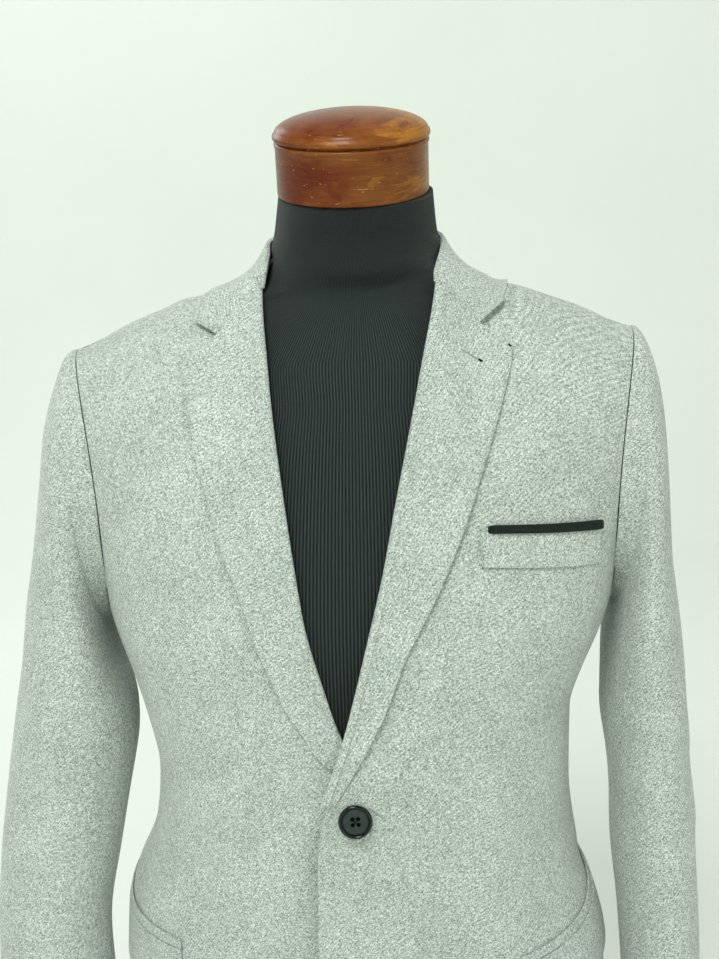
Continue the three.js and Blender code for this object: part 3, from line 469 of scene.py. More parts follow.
@dataclass(frozen=True)
class VarnishedWood:
    """Turned wood under old shellac: red-brown, rubbed through to gold in patches, with fine scratches."""

    name: str = "turned_wood_worn_shellac"
    red: str = "#6d2b0a"
    brown: str = "#854c1f"
    gold: str = "#a96e28"
    line: str = "#8a5a3a"
    scratch: str = "#b98c5a"
    patch: float = 30  # millimetres across a rubbed patch
    grain: float = 1.4  # width of a line of grain
    nicks: float = 420  # scratches in a metre

    def material(self) -> bpy.types.Material:
        """Builds the wood's material in the cap's own turned coordinates.

        Returns:
            The material.
        """
        material, tree = new_material(self.name)
        place = add_node(tree, "ShaderNodeTexCoord").outputs["Object"]
        moved = add_node(tree, "ShaderNodeVectorMath", {0: place, 1: NECK_AT}, {"operation": "SUBTRACT"})
        upright = (math.radians(-NECK_TILT), 0, 0)
        level = add_node(tree, "ShaderNodeMapping", {"Vector": moved, "Rotation": upright})
        rubbed = add_node(tree, "ShaderNodeMapping", {"Vector": level, "Scale": (0.6, 0.6, 1.5)})
        blotched = {"Vector": rubbed, "Scale": 1000 / self.patch, "Detail": 6.0, "Roughness": 0.62}
        patches = add_node(tree, "ShaderNodeTexNoise", {**blotched, "Distortion": 0.8})
        across, _, height = add_node(tree, "ShaderNodeSeparateXYZ", {0: level}).outputs
        worn = patches
        # More gold towards the wearer's left, where the shellac is rubbed, and a band of lighter gold from
        # the rim upwards, with less of it on the dome
        for place, low, high, before, after in (
            (across, -0.03, 0.05, -0.16, 0.07),
            (height, 0.041, 0.0455, 0.0, 0.12),
            (height, 0.0475, 0.053, 0.0, -0.07),
        ):
            wear = add_node(
                tree,
                "ShaderNodeMapRange",
                {"Value": place, "From Min": low, "From Max": high, "To Min": before, "To Max": after},
            )
            worn = add_node(tree, "ShaderNodeMath", {0: worn, 1: wear}, {"operation": "ADD"})
        shades = [(0.30, self.red), (0.50, self.brown), (0.58, self.brown), (0.66, self.gold)]
        base = add_node(tree, "ShaderNodeValToRGB", {0: worn}, {"stops": shades})
        drawn = add_node(tree, "ShaderNodeMapping", {"Vector": level, "Scale": (0.08, 0.08, 1.0)})
        grown = {"Vector": drawn, "Scale": 1000 / self.grain, "Detail": 3.0, "Roughness": 0.6}
        lines = add_node(tree, "ShaderNodeTexNoise", grown)
        lined = {"Value": lines, "From Min": 0.42, "From Max": 0.7, "To Max": 0.4}
        shade = add_node(tree, "ShaderNodeMapRange", lined)
        dark = linear(self.line)
        grained = add_node(tree, "ShaderNodeMix", {0: shade, 6: base, 7: dark}, TINT).outputs[2]
        slanted = {"Vector": level, "Rotation": (0.2, 0.25, 0.5), "Scale": (0.18, 1.1, 1.1)}
        slant = add_node(tree, "ShaderNodeMapping", slanted)
        nicks = add_node(tree, "ShaderNodeTexNoise", {"Vector": slant, "Scale": self.nicks, "Detail": 2.0})
        nicked = {"Value": nicks, "From Min": 0.68, "From Max": 0.73, "To Max": 0.75}
        mask = add_node(tree, "ShaderNodeMapRange", nicked)
        scratched = {0: mask, 6: grained, 7: linear(self.scratch)}
        colour = add_node(tree, "ShaderNodeMix", scratched, {"data_type": "RGBA"}).outputs[2]
        rough = add_node(
            tree,
            "ShaderNodeMapRange",
            {"Value": patches, "From Min": 0.3, "From Max": 0.7, "To Min": 0.24, "To Max": 0.42},
        )
        bump = add_node(tree, "ShaderNodeBump", {"Strength": 0.25, "Distance": 0.2 * MM, "Height": worn})
        looks = {"Specular IOR Level": 0.1, "Coat Weight": 0.15, "Coat Roughness": 0.16}
        add_surface(tree, {**looks, "Base Color": colour, "Roughness": rough, "Normal": bump})
        return material


@dataclass(frozen=True)
class MottledFinish:
    """A plain finish with a soft, fine change of tone: cast resin, satin, thread or baked enamel."""

    name: str
    colour: str
    second: str
    grain: float  # millimetres across a change of tone
    surface: Inputs
    bump: float = 0.0  # depth of its relief in millimetres

    def material(self) -> bpy.types.Material:
        """Builds the material on Object coordinates.

        Returns:
            The material.
        """
        material, tree = new_material(self.name)
        place = add_node(tree, "ShaderNodeTexCoord").outputs["Object"]
        mottle = {"Vector": place, "Scale": 1000 / self.grain, "Detail": 4.0, "Roughness": 0.6}
        tone = add_node(tree, "ShaderNodeTexNoise", mottle)
        shades = [(0.35, self.colour), (0.68, self.second)]
        colour = add_node(tree, "ShaderNodeValToRGB", {0: tone}, {"stops": shades})
        looks = {**self.surface, "Base Color": colour}
        if self.bump:
            relief = {"Strength": 0.5, "Distance": self.bump * MM, "Height": tone}
            looks["Normal"] = add_node(tree, "ShaderNodeBump", relief)
        add_surface(tree, looks)
        return material


WOOL = WoolTwill().material()
KNIT = RibKnit().material()
WOOD = VarnishedWood().material()
# Satin-woven piping: dark green-black with a soft shine along its fold
SATIN = MottledFinish(
    "satin_piping", "#0b110f", "#18211e", 2.0, {"Roughness": 0.4, "Specular IOR Level": 0.2}, 0.1
).material()
# Cast polyester resin, polished: the sunk face shows grey-green, the rim nearly black
RESIN_FACE = MottledFinish(
    "cast_resin_face", "#26302d", "#323e3a", 5.0, {"Roughness": 0.35, "Specular IOR Level": 0.3}
).material()
RESIN_RIM = MottledFinish(
    "cast_resin_rim", "#040706", "#0a0e0d", 4.0, {"Roughness": 0.1, "Specular IOR Level": 0.45}
).material()
# Spun buttonhole silk in two shades
# The black silk also lines the button's holes, partly as the thread through them and partly as painted shade.
DARK_THREAD_AND_HOLE_SHADE = MottledFinish(
    "silk_thread_black_and_hole_shade", "#050807", "#101614", 0.6, {"Roughness": 0.8, "Specular IOR Level": 0.1}
).material()
PALE_THREAD = MottledFinish(
    "silk_thread_sage", "#8d9d8f", "#c2cfc2", 0.6, {"Roughness": 0.6, "Sheen Weight": 0.2}
).material()
# Baked black enamel on steel, satin
ENAMEL_GLOSS = {"Roughness": 0.36, "Coat Weight": 0.25, "Coat Roughness": 0.3}
ENAMEL = MottledFinish("baked_enamel_black", "#161817", "#1f2221", 6.0, ENAMEL_GLOSS).material()
# Matt seamless paper in a pale mint white
PAPER = MottledFinish(
    "seamless_paper", "#f0f4ee", "#ecf1ea", 900.0, {"Roughness": 0.95, "Specular IOR Level": 0.1}
).material()


# How the weave is laid on each piece


def smoothstep(low: float, high: float, value: np.ndarray) -> np.ndarray:
    """Rises smoothly from 0 at low to 1 at high, or the other way round."""
    share = np.clip((value - low) / (high - low), 0, 1)
    return share * share * (3 - 2 * share)


@dataclass(frozen=True)
class BodyLay:
    """Weave of the panels round the body: across along the girth, up along the cloth over the shoulder.

    Its sizes are in millimetres.
    """

    half_width: float = 205
    front_depth: float = 138
    back_depth: float = 104
    squareness: float = 2.5
    front_rise: float = 290
    back_rise: float = 134
    ridge_middle: float = 6  # the shoulders' ridge is measured out from here
    ridge_out: tuple[float, ...] = (0, 66, 100, 143, 192, 240)
    ridge_top: tuple[float, ...] = (880, 868, 846, 835, 815.5, 796)
    shoulder_slope: tuple[float, float] = (780, 850)  # heights between which the cloth turns to face up
    shoulder_lift: float = 0.006

    def girth(self, depth: float) -> tuple[np.ndarray, np.ndarray]:
        """Measures a quarter of the body's girth.

        Args:
            depth: the body's depth there in millimetres.

        Returns:
            Turn angles from the middle, and the arc length to each.
        """
        turn = np.linspace(0, math.pi / 2, 200)
        x = self.half_width * np.sin(turn) ** (2 / self.squareness)
        y = depth * np.cos(turn) ** (2 / self.squareness)
        steps = np.hypot(np.diff(x), np.diff(y))
        return turn, np.concatenate([[0], np.cumsum(steps)])

    def climb(self, depth: float, rise: float, share: np.ndarray) -> np.ndarray:
        """Measures the cloth below the shoulder's ridge.

        Args:
            depth: how far the curve reaches forwards or back, in millimetres.
            rise: how high it is.
            share: the share of the way down it.

        Returns:
            Millimetres of cloth below the ridge.
        """
        turn = np.linspace(0, math.pi / 2, 100)
        steps = np.hypot(np.diff(depth * np.sin(turn)), np.diff(rise * (1 - np.cos(turn))))
        length = np.concatenate([[0], np.cumsum(steps)])
        curved = np.interp(np.arccos(np.clip(1 - share, -1, 1)), turn, length)
        return np.where(share < 1, curved, length[-1] + (share - 1) * rise)

    def places(self, points: np.ndarray) -> np.ndarray:
        """Finds where points lie on the flat cloth.

        Args:
            points: places in metres.

        Returns:
            Millimetres across and up the weave.
        """
        x, y, z = (points / MM).T
        front_turn, front_arc = self.girth(self.front_depth)
        back_turn, back_arc = self.girth(self.back_depth)
        half = self.squareness / 2
        depth = np.where(y < 0, self.front_depth, self.back_depth)
        turn = np.arctan2(np.abs(x / self.half_width) ** half, np.abs(y / depth) ** half)
        front = np.interp(turn, front_turn, front_arc)
        back = front_arc[-1] + back_arc[-1] - np.interp(turn, back_turn, back_arc)
        across = np.sign(x) * np.where(y < 0, front, back)
        top = np.interp(np.abs(x - self.ridge_middle), self.ridge_out, self.ridge_top)
        down_front = self.climb(self.front_depth, self.front_rise, (top - z) / self.front_rise)
        down_back = self.climb(self.back_depth, self.back_rise, (top - z) / self.back_rise)
        return np.column_stack([across, self.ridge_top[0] - np.where(y < 0, down_front, down_back)])

    def outward(self, points: np.ndarray) -> np.ndarray:
        """Finds the way away from the body.

        Args:
            points: places in metres.

        Returns:
            A unit vector at each point.
        """
        x, y, z = (points / MM).T
        depth = np.where(y < 0, self.front_depth, self.back_depth)
        lift = self.shoulder_lift * smoothstep(*self.shoulder_slope, z)
        aim = np.column_stack([x / self.half_width**2, y / depth**2, lift])
        return aim / np.linalg.norm(aim, axis=1, keepdims=True)


@dataclass(frozen=True)
class SleeveLay:
    """Weave of a sleeve: across round its middle line, up along it."""

    side: int  # 1 on the wearer's left, -1 on the right
    inner: bool = False  # the under sleeve is measured from the side next to the body
    girth_radius: float = 56
    heights: tuple[float, ...] = (190, 338, 482, 575, 668, 745, 800)
    middle_out: tuple[float, ...] = (253, 250, 238, 234, 230, 226, 224)
    middle_y: tuple[float, ...] = (-48, -39, -22, -13, -6, -2, 0)

    def from_middle(self, points: np.ndarray) -> tuple[np.ndarray, np.ndarray, np.ndarray]:
        """Measures points from the sleeve's middle line.

        Args:
            points: places in metres.

        Returns:
            Millimetres outwards, forwards and up.
        """
        x, y, z = (points / MM).T
        out = self.side * x - np.interp(z, self.heights, self.middle_out)
        return out, np.interp(z, self.heights, self.middle_y) - y, z

    def places(self, points: np.ndarray) -> np.ndarray:
        """Finds where points lie on the flat cloth.

        Args:
            points: places in metres.

        Returns:
            Millimetres across and up the weave.
        """
        out, ahead, z = self.from_middle(points)
        turn = np.arctan2(ahead, -out if self.inner else out)
        sign = -self.side if self.inner else self.side
        return np.column_stack([-sign * turn * self.girth_radius, z])

    def outward(self, points: np.ndarray) -> np.ndarray:
        """Finds the way away from the sleeve's middle line.

        Args:
            points: places in metres.

        Returns:
            A unit vector at each point.
        """
        out, ahead, _ = self.from_middle(points)
        aim = np.column_stack([self.side * out, -ahead, np.zeros(len(out))])
        return aim / np.maximum(np.linalg.norm(aim, axis=1, keepdims=True), 1e-6)


@dataclass(frozen=True)
class FlatLay:
    """Weave of a lapel or a patch, cut flat and seen from the front."""

    grain: float = 0  # degrees that the piece's grain leans

    def places(self, points: np.ndarray) -> np.ndarray:
        """Finds where points lie on the flat cloth.

        Args:
            points: places in metres.

        Returns:
            Millimetres across and up the weave.
        """
        x, _, z = (points / MM).T
        lean = math.radians(self.grain)
        across = x * math.cos(lean) + z * math.sin(lean)
        return np.column_stack([across, z * math.cos(lean) - x * math.sin(lean)])

    def outward(self, points: np.ndarray) -> np.ndarray:
        """Straight forwards at each point."""
        return np.tile([0.0, -1.0, 0.0], (len(points), 1))


@dataclass(frozen=True)
class CollarLay:
    """Weave of the collar, cut on the cross and run round the neck."""

    neck_x: float = 8.5
    neck_y: float = -8
    sweep_back: float = 40  # millimetres that the turn's middle lies in front of the neck's
    leaf_radius: float = 85
    rise: float = 60  # how steeply its outward direction climbs
    fall: float = 0.6  # how much a millimetre down counts as a millimetre out

    def places(self, points: np.ndarray) -> np.ndarray:
        """Finds where points lie on the flat cloth.

        Args:
            points: places in metres.

        Returns:
            Millimetres across and up the weave.
        """
        x, y, z = (points / MM).T
        across = np.arctan2(x - self.neck_x, y - self.neck_y + self.sweep_back) * self.leaf_radius
        return np.column_stack([-across, np.hypot(x - self.neck_x, y - self.neck_y) - self.fall * z])

    def outward(self, points: np.ndarray) -> np.ndarray:
        """Finds the way up and away from the neck.

        Args:
            points: places in metres.

        Returns:
            A unit vector at each point.
        """
        x, y, _ = (points / MM).T
        aim = np.column_stack([x - self.neck_x, y - self.neck_y, np.full(len(x), self.rise)])
        return aim / np.linalg.norm(aim, axis=1, keepdims=True)


Lay = BodyLay | SleeveLay | FlatLay | CollarLay


@dataclass(frozen=True)
class Crease:
    """A soft fold in the cloth, placed on its weave.

    A positive rise stands out as a ridge, a negative one sinks as a trough.
    """

    start: Span
    end: Span
    width: float
    rise: float
    bow: float = 0  # millimetres that its middle bends aside

    def height(self, places: np.ndarray) -> np.ndarray:
        """Finds how far the cloth stands out.

        Args:
            places: millimetres across and up the weave.

        Returns:
            Millimetres outwards at each place.
        """
        a = np.array(self.start, float)
        along = np.array(self.end, float) - a
        length = np.linalg.norm(along)
        along /= length
        across = np.array([-along[1], along[0]])
        run = (places - a) @ along / length
        bend = self.bow * (1 - (2 * np.clip(run, 0, 1) - 1) ** 2)
        off = (places - a) @ across - bend
        fade = smoothstep(-0.12, 0.28, run) * (1 - smoothstep(0.72, 1.12, run))
        return self.rise * np.exp(-((off / self.width) ** 2)) * fade


@dataclass(frozen=True)
class ClosedSeam:
    """A seam seen from in front, whose edge is pushed over so that no gap shows along it."""

    start: Span
    end: Span
    toward: Span  # millimetres across and up that the edge moves
    reach: float = 3.0
    front: float = -0.035  # only cloth in front of this, in metres, moves

    def shift(self, points: np.ndarray) -> np.ndarray:
        """Finds how far the cloth is pushed over.

        Args:
            points: places in metres.

        Returns:
            Each point's move in millimetres.
        """
        a = np.array(self.start, float)
        places = FlatLay().places(points)
        along = np.array(self.end, float) - a
        run = np.clip((places - a) @ along / (along @ along), 0, 1)
        off = np.linalg.norm(places - a - run[:, None] * along, axis=1)
        near = np.exp(-((off / self.reach) ** 2)) * (points[:, 1] < self.front)
        return np.column_stack([near * self.toward[0], 0 * near, near * self.toward[1]])


# Cloth pieces

FRONT_ONLY = 0.02  # creases of the front view fade out towards this depth, in metres


@dataclass
class ClothPiece:
    """A piece of the blazer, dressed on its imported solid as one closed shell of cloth."""

    node: str
    cut: Span  # flat width and length before sewing, in metres
    area: float  # flat area in square metres
    lay: Lay
    held: Held = Held.OVER_FORM
    creases: tuple[Crease, ...] = ()
    front_creases: tuple[Crease, ...] = ()  # placed in the front view instead of on the weave
    closed_seams: tuple[ClosedSeam, ...] = ()
    levels: int = 3
    edge_roll: float = 0.55  # radius of the turned edge, in millimetres
    rests_on: tuple[str, ...] = ("form_torso",)

    def build(self) -> bpy.types.Object:
        """Returns:
            The dressed piece.
        """
        piece = smoothed(f"{self.node}_cloth", cage_of(self.node), WOOL, self.levels)
        self.press(piece.data)
        roll_edges(piece, self.edge_roll)
        add_weave_map(piece.data, self.lay.places(points_of(piece.data)))
        ride(piece, "wool_twill", self.node)
        return piece

    def press(self, mesh: bpy.types.Mesh) -> None:
        """Moves the cloth in or out along its creases and over along its closed seams.

        Args:
            mesh: the smoothed cloth.
        """
        points = points_of(mesh)
        moved = points.copy()
        if self.creases:
            height = sum(crease.height(self.lay.places(points)) for crease in self.creases)
            moved += self.lay.outward(points) * height[:, None] * MM
        if self.front_creases:
            height = sum(crease.height(FlatLay().places(points)) for crease in self.front_creases)
            height = height * smoothstep(FRONT_ONLY, 0.0, points[:, 1])
            moved += BodyLay().outward(points) * height[:, None] * MM
        for seam in self.closed_seams:
            moved += seam.shift(points) * MM
        set_points(mesh, moved)


@dataclass
class Blazer:
    """All the cloth of the blazer, panel by panel."""

    body: BodyLay = field(default_factory=BodyLay)
    pieces: dict[str, bpy.types.Object] = field(default_factory=dict)

    def panels(self) -> list[ClothPiece]:
        """Lists the fronts, side bodies and backs.

        Returns:
            The pieces, not yet built.
        """
        rows = (
            ("front_right", (0.25, 0.76), 0.149, FRONT_RIGHT_CREASES, FRONT_RIGHT_DIPS),
            ("front_left", (0.29, 0.76), 0.164, FRONT_LEFT_CREASES, FRONT_LEFT_DIPS),
            ("side_right", (0.11, 0.49), 0.0455, SIDE_RIGHT_CREASES, ()),
            ("side_left", (0.11, 0.49), 0.0455, SIDE_LEFT_CREASES, ()),
            ("back_right", (0.26, 0.78), 0.157, BACK_RIGHT_CREASES, ()),
            ("back_left", (0.26, 0.78), 0.152, BACK_LEFT_CREASES, ()),
        )
        return [
            ClothPiece(node, cut, area, self.body, Held.OVER_FORM, creases, dips)
            for node, cut, area, creases, dips in rows
        ]

    def sleeves(self) -> list[ClothPiece]:
        """Lists the top and under sleeve of each side.

        Returns:
            The pieces, not yet built.
        """
        rows = (
            ("sleeve_right_top", (0.26, 0.64), 0.1325, SleeveLay(-1), SLEEVE_RIGHT_CREASES),
            ("sleeve_left_top", (0.26, 0.64), 0.1225, SleeveLay(1), SLEEVE_LEFT_CREASES),
            ("sleeve_right_under", (0.1, 0.45), 0.0315, SleeveLay(-1, True), ()),
            ("sleeve_left_under", (0.1, 0.45), 0.0335, SleeveLay(1, True), ()),
        )
        return [
            ClothPiece(node, cut, area, lay, Held.SLEEVE, creases)
            for node, cut, area, lay, creases in rows
        ]

    def turned_pieces(self) -> list[ClothPiece]:
        """Lists the lapels and the collar.

        Returns:
            The pieces, not yet built.
        """
        rows = (
            ("lapel_right", (0.085, 0.38), 0.018, FlatLay(-12), LAPEL_RIGHT_LIFT, (), 0.3),
            ("lapel_left", (0.085, 0.38), 0.018, FlatLay(12), LAPEL_LEFT_LIFT, (), 0.3),
            ("collar", (0.11, 0.42), 0.029, CollarLay(), COLLAR_LIFT, COLLAR_SEAMS, 0.2),
        )
        return [
            ClothPiece(node, cut, area, lay, Held.LAPEL, (), lift, seams, 2, roll)
            for node, cut, area, lay, lift, seams, roll in rows
        ]

    def pockets(self) -> list[ClothPiece]:
        """Lists the breast welt, the hip jets and the hip flaps.

        Returns:
            The pieces, not yet built.
        """
        rows = [("breast_welt", (0.1, 0.03), 0.0028, FlatLay(4), "front_left")]
        for side in ("right", "left"):
            rows.append((f"hip_jet_{side}", (0.19, 0.016), 0.0015, self.body, f"front_{side}"))
            rows.append((f"hip_flap_{side}", (0.19, 0.049), 0.0086, self.body, f"front_{side}"))
        return [
            ClothPiece(node, cut, area, lay, Held.PATCH, edge_roll=0.45, rests_on=(carrier,))
            for node, cut, area, lay, carrier in rows
        ]

    def build(self) -> None:
        """Builds every piece and keeps it by its node's name."""
        for cloth in self.panels() + self.sleeves() + self.turned_pieces() + self.pockets():
            self.pieces[cloth.node] = cloth.build()


# Creases by piece. Places are millimetres across and up the weave: across is counted from the
# centre front on the body, and from a sleeve's outer line.
FRONT_RIGHT_CREASES = (
    Crease((-200, 610), (-196, 690), 11, -1.0),
    Crease((-178, 560), (-205, 655), 16, 1.6),
    Crease((-165, 470), (-40, 458), 9, -1.3, 6),
    Crease((-150, 430), (-42, 448), 10, 1.2, -5),
    Crease((-205, 400), (-120, 425), 14, -1.8),
    Crease((-60, 200), (-66, 420), 20, -1.2),
)
FRONT_LEFT_CREASES = (
    Crease((201, 610), (197, 690), 11, -1.0),
    Crease((182, 560), (206, 655), 16, 1.6),
    Crease((10, 470), (120, 500), 9, -1.2, 5),
    Crease((8, 440), (110, 415), 10, 1.2, 5),
    Crease((-22, 250), (-24, 430), 11, -1.4),
    Crease((205, 400), (120, 420), 14, -1.6),
)
SIDE_RIGHT_CREASES = (Crease((-250, 420), (-320, 445), 14, -2.0), Crease((-250, 470), (-330, 490), 12, 1.4))
SIDE_LEFT_CREASES = (Crease((250, 420), (320, 445), 14, -2.0), Crease((250, 470), (330, 490), 12, 1.4))
BACK_RIGHT_CREASES = (
    Crease((-350, 440), (-480, 470), 16, -2.4, 6),
    Crease((-345, 500), (-450, 540), 15, 1.8),
    Crease((-370, 640), (-385, 780), 15, -2.6),
    Crease((-440, 220), (-430, 400), 22, 2.0),
)
BACK_LEFT_CREASES = (
    Crease((350, 445), (470, 470), 16, -2.2, -6),
    Crease((345, 505), (455, 535), 15, 1.8),
    Crease((372, 650), (384, 780), 15, -2.4),
    Crease((430, 230), (440, 410), 22, 1.8),
)
SLEEVE_RIGHT_CREASES = (
    Crease((78, 640), (106, 560), 12, -1.2, -4),
    Crease((20, 640), (96, 480), 14, 1.8, -8),
    Crease((110, 470), (40, 430), 12, -2.0),
    Crease((104, 430), (20, 400), 13, 1.5),
    Crease((-100, 470), (-30, 420), 13, -2.2),
    Crease((-96, 420), (-20, 380), 12, 1.6),
    Crease((90, 300), (60, 200), 16, -1.4),
)
SLEEVE_LEFT_CREASES = (
    Crease((-78, 640), (-106, 560), 12, -1.2, 4),
    Crease((-20, 640), (-96, 480), 14, 1.8, 8),
    Crease((-110, 480), (-30, 450), 11, -2.4),
    Crease((-106, 440), (-24, 402), 13, 1.5),
    Crease((100, 480), (30, 430), 13, -2.2),
    Crease((96, 430), (20, 390), 12, 1.6),
    Crease((-88, 300), (-60, 210), 16, -1.4),
)

# Turned edges that stand off the cloth below, and dips beside them. Places are millimetres across
# and up the front view.
LAPEL_RIGHT_LIFT = (
    Crease((-121, 812), (-109, 722), 6, 1.5),
    Crease((-113, 745), (-88, 635), 6, 1.7),
    Crease((-97, 668), (-55, 543), 7, 1.8),
    Crease((-66, 565), (-18, 485), 7, 1.5),
)
LAPEL_LEFT_LIFT = (
    Crease((121, 812), (98, 738), 6, 1.8),
    Crease((105, 760), (72, 660), 6, 2.2),
    Crease((86, 700), (36, 575), 7, 1.9),
    Crease((48, 600), (-10, 489), 8, 1.7),
)
COLLAR_LIFT = (
    Crease((-94.5, 811.6), (-121, 824.3), 5, 2.6),
    Crease((94.2, 810.6), (126.5, 832.5), 5, 3.0),
    Crease((-115, 822), (-114, 880), 7, -3.2),
    Crease((119, 828), (125, 886), 7, -3.2),
)
FRONT_RIGHT_DIPS = (
    Crease((-34, 490), (-50, 200), 16, -5.5),
    Crease((-95, 811), (-121, 823), 3, -1.5),
    Crease((-126, 812), (-112, 715), 4, -1.7),
    Crease((-116, 742), (-88, 628), 4, -1.7),
    Crease((-98, 658), (-58, 548), 4, -1.7),
)
FRONT_LEFT_DIPS = (
    Crease((95, 810), (126, 831), 3, -1.5),
    Crease((70, 622), (-4, 478), 10, -3.0),
)
# The gorge on each side, and the collar's inner corner where it meets the lapel's fold
COLLAR_SEAMS = (
    ClosedSeam((-68, 851), (-98.5, 813.4), (1.25, -1.0)),
    ClosedSeam((71, 851), (99.2, 813.6), (-1.5, -1.2)),
    ClosedSeam((-61.1, 850.2), (-63, 850), (-0.8, -4.0)),
    ClosedSeam((64.4, 849.8), (66.5, 849), (1.0, -3.5)),
)


# Sewn details, laid on the dressed cloth


def stitch_tree() -> bpy.types.GeometryNodeTree:
    """Geometry Nodes that lay small thread bars along a path.

    Returns:
        A tree with the inputs Pitch, Length, Radius, Slant and Material.
    """
    tree = bpy.data.node_groups.new("thread stitches", "GeometryNodeTree")
    tree.interface.new_socket("Path", in_out="INPUT", socket_type="NodeSocketGeometry")
    for name in ("Pitch", "Length", "Radius", "Slant"):
        tree.interface.new_socket(name, in_out="INPUT", socket_type="NodeSocketFloat")
    tree.interface.new_socket("Material", in_out="INPUT", socket_type="NodeSocketMaterial")
    tree.interface.new_socket("Stitches", in_out="OUTPUT", socket_type="NodeSocketGeometry")
    given = add_node(tree, "NodeGroupInput").outputs
    curve = add_node(tree, "GeometryNodeMeshToCurve", {0: given["Path"]})
    spaced = {"Curve": curve, "Length": given["Pitch"]}
    spots = add_node(tree, "GeometryNodeCurveToPoints", spaced, {"mode": "LENGTH"}).outputs
    sizes = {"Vertices": 6, "Radius": given["Radius"], "Depth": given["Length"]}
    bar = add_node(tree, "GeometryNodeMeshCylinder", sizes, {"fill_type": "TRIANGLE_FAN"})
    heading = add_node(tree, "FunctionNodeAlignRotationToVector", {"Vector": spots["Tangent"]}, {"axis": "Z"})
    slant = add_node(tree, "ShaderNodeCombineXYZ", {"Y": given["Slant"]})
    lean = add_node(tree, "FunctionNodeEulerToRotation", {0: slant})
    turned = add_node(tree, "FunctionNodeRotateRotation", {0: heading, 1: lean}, {"rotation_space": "LOCAL"})
    placed = {"Points": spots["Points"], "Instance": bar, "Rotation": turned}
    laid = add_node(tree, "GeometryNodeInstanceOnPoints", placed)
    solid = add_node(tree, "GeometryNodeRealizeInstances", {0: laid})
    dyed = add_node(tree, "GeometryNodeSetMaterial", {"Geometry": solid, "Material": given["Material"]})
    add_node(tree, "NodeGroupOutput", {0: dyed})
    return tree


@dataclass(frozen=True)
class Stitch:
    """One kind of stitch. Its sizes are in millimetres."""

    pitch: float
    length: float
    radius: float
    lie: Lie
    thread: bpy.types.Material

    def lay(self, name: str, path: Sequence[Vector], tree: bpy.types.GeometryNodeTree) -> None:
        """Lays a row of stitches as a plain mesh.

        Args:
            name: the row's name.
            path: points along the row, in metres.
            tree: the tree from stitch_tree.
        """
        mesh = bpy.data.meshes.new(name)
        mesh.from_pydata(path, [(i, i + 1) for i in range(len(path) - 1)], [])
        piece = new_object(name, mesh)
        modifier = piece.modifiers.new("stitches", "NODES")
        modifier.node_group = tree
        values = {
            "Pitch": self.pitch * MM,
            "Length": self.length * MM,
            "Radius": self.radius * MM,
            "Slant": self.lie.value,
            "Material": self.thread,
        }
        for item in tree.interface.items_tree:
            if item.name in values:
                modifier[item.identifier] = values[item.name]
        apply_modifiers(piece)
        ride(piece, "wool_twill")


@dataclass
class SewnDetails:
    """Buttonholes, tacks and end stitches on the dressed cloth."""

    blazer: Blazer

    def row(self, node: str, start: Span, end: Span, count: int, lift: float) -> list[Vector]:
        """Finds points along a straight row on a piece's outside, seen from in front.

        Args:
            node: the node that the piece stands for.
            start: millimetres to the wearer's left and up, where the row begins.
            end: where it ends.
            count: how many points.
            lift: millimetres off the cloth.

        Returns:
            The points in metres.
        """
        skin = BVHTree.FromObject(self.blazer.pieces[node], bpy.context.evaluated_depsgraph_get())
        spots: list[Vector] = []
        for i in range(count):
            x, z = (a + (b - a) * (i / (count - 1)) for a, b in zip(start, end))
            hit, normal, _, _ = skin.ray_cast(Vector((x * MM, -1, z * MM)), Vector((0, 1, 0)))
            spots.append(hit + normal * lift * MM)
        return spots

    def build(self) -> None:
        """Lays every sewn detail."""
        tree = stitch_tree()
        purl = Stitch(0.75, 1.5, 0.28, Lie.ACROSS, PALE_THREAD)
        slit = Stitch(1.6, 1.6, 0.14, Lie.ALONG, DARK_THREAD_AND_HOLE_SHADE)
        eye = Stitch(0.5, 1.5, 0.62, Lie.ACROSS, DARK_THREAD_AND_HOLE_SHADE)
        front_purl = Stitch(0.8, 1.7, 0.3, Lie.ACROSS, PALE_THREAD)
        tack = Stitch(0.6, 1.3, 0.5, Lie.ACROSS, DARK_THREAD_AND_HOLE_SHADE)
        welt_end = Stitch(3.1, 1.1, 0.2, Lie.ALONG, DARK_THREAD_AND_HOLE_SHADE)
        for name, stitch, node, start, end, count, lift in (
            ("lapel_buttonhole_purl", purl, "lapel_left", (82.5, 796.5), (95.5, 788.5), 12, 0.15),
            ("lapel_buttonhole_slit", slit, "lapel_left", (82.5, 796.5), (95.5, 788.5), 12, 0.22),
            ("lapel_buttonhole_eye", eye, "lapel_left", (95.3, 788.7), (97.3, 787.5), 3, 0.25),
            ("front_buttonhole_purl", front_purl, "front_left", (3.5, 471.5), (10.5, 465), 8, 0.15),
            ("lapel_point_tack", tack, "lapel_left", (118.8, 797.9), (120.2, 796.8), 3, 0.15),
            ("welt_end_stitches", welt_end, "breast_welt", (90.6, 645), (90.6, 664), 12, 0.15),
        ):
            stitch.lay(name, self.row(node, start, end, count, lift), tree)


@dataclass
class BreastPiping:
    """Satin piping along the mouth of the breast pocket, soft and round like a cord's edge."""

    node: str = "breast_piping"
    edge_roll: float = 0.8  # millimetres

    def build(self) -> None:
        piece = smoothed("breast_piping_satin", cage_of(self.node, 0.0), SATIN, 3, 2)
        roll_edges(piece, self.edge_roll, segments=3)
        ride(piece, "dark_satin", self.node)


# Button, form and stand


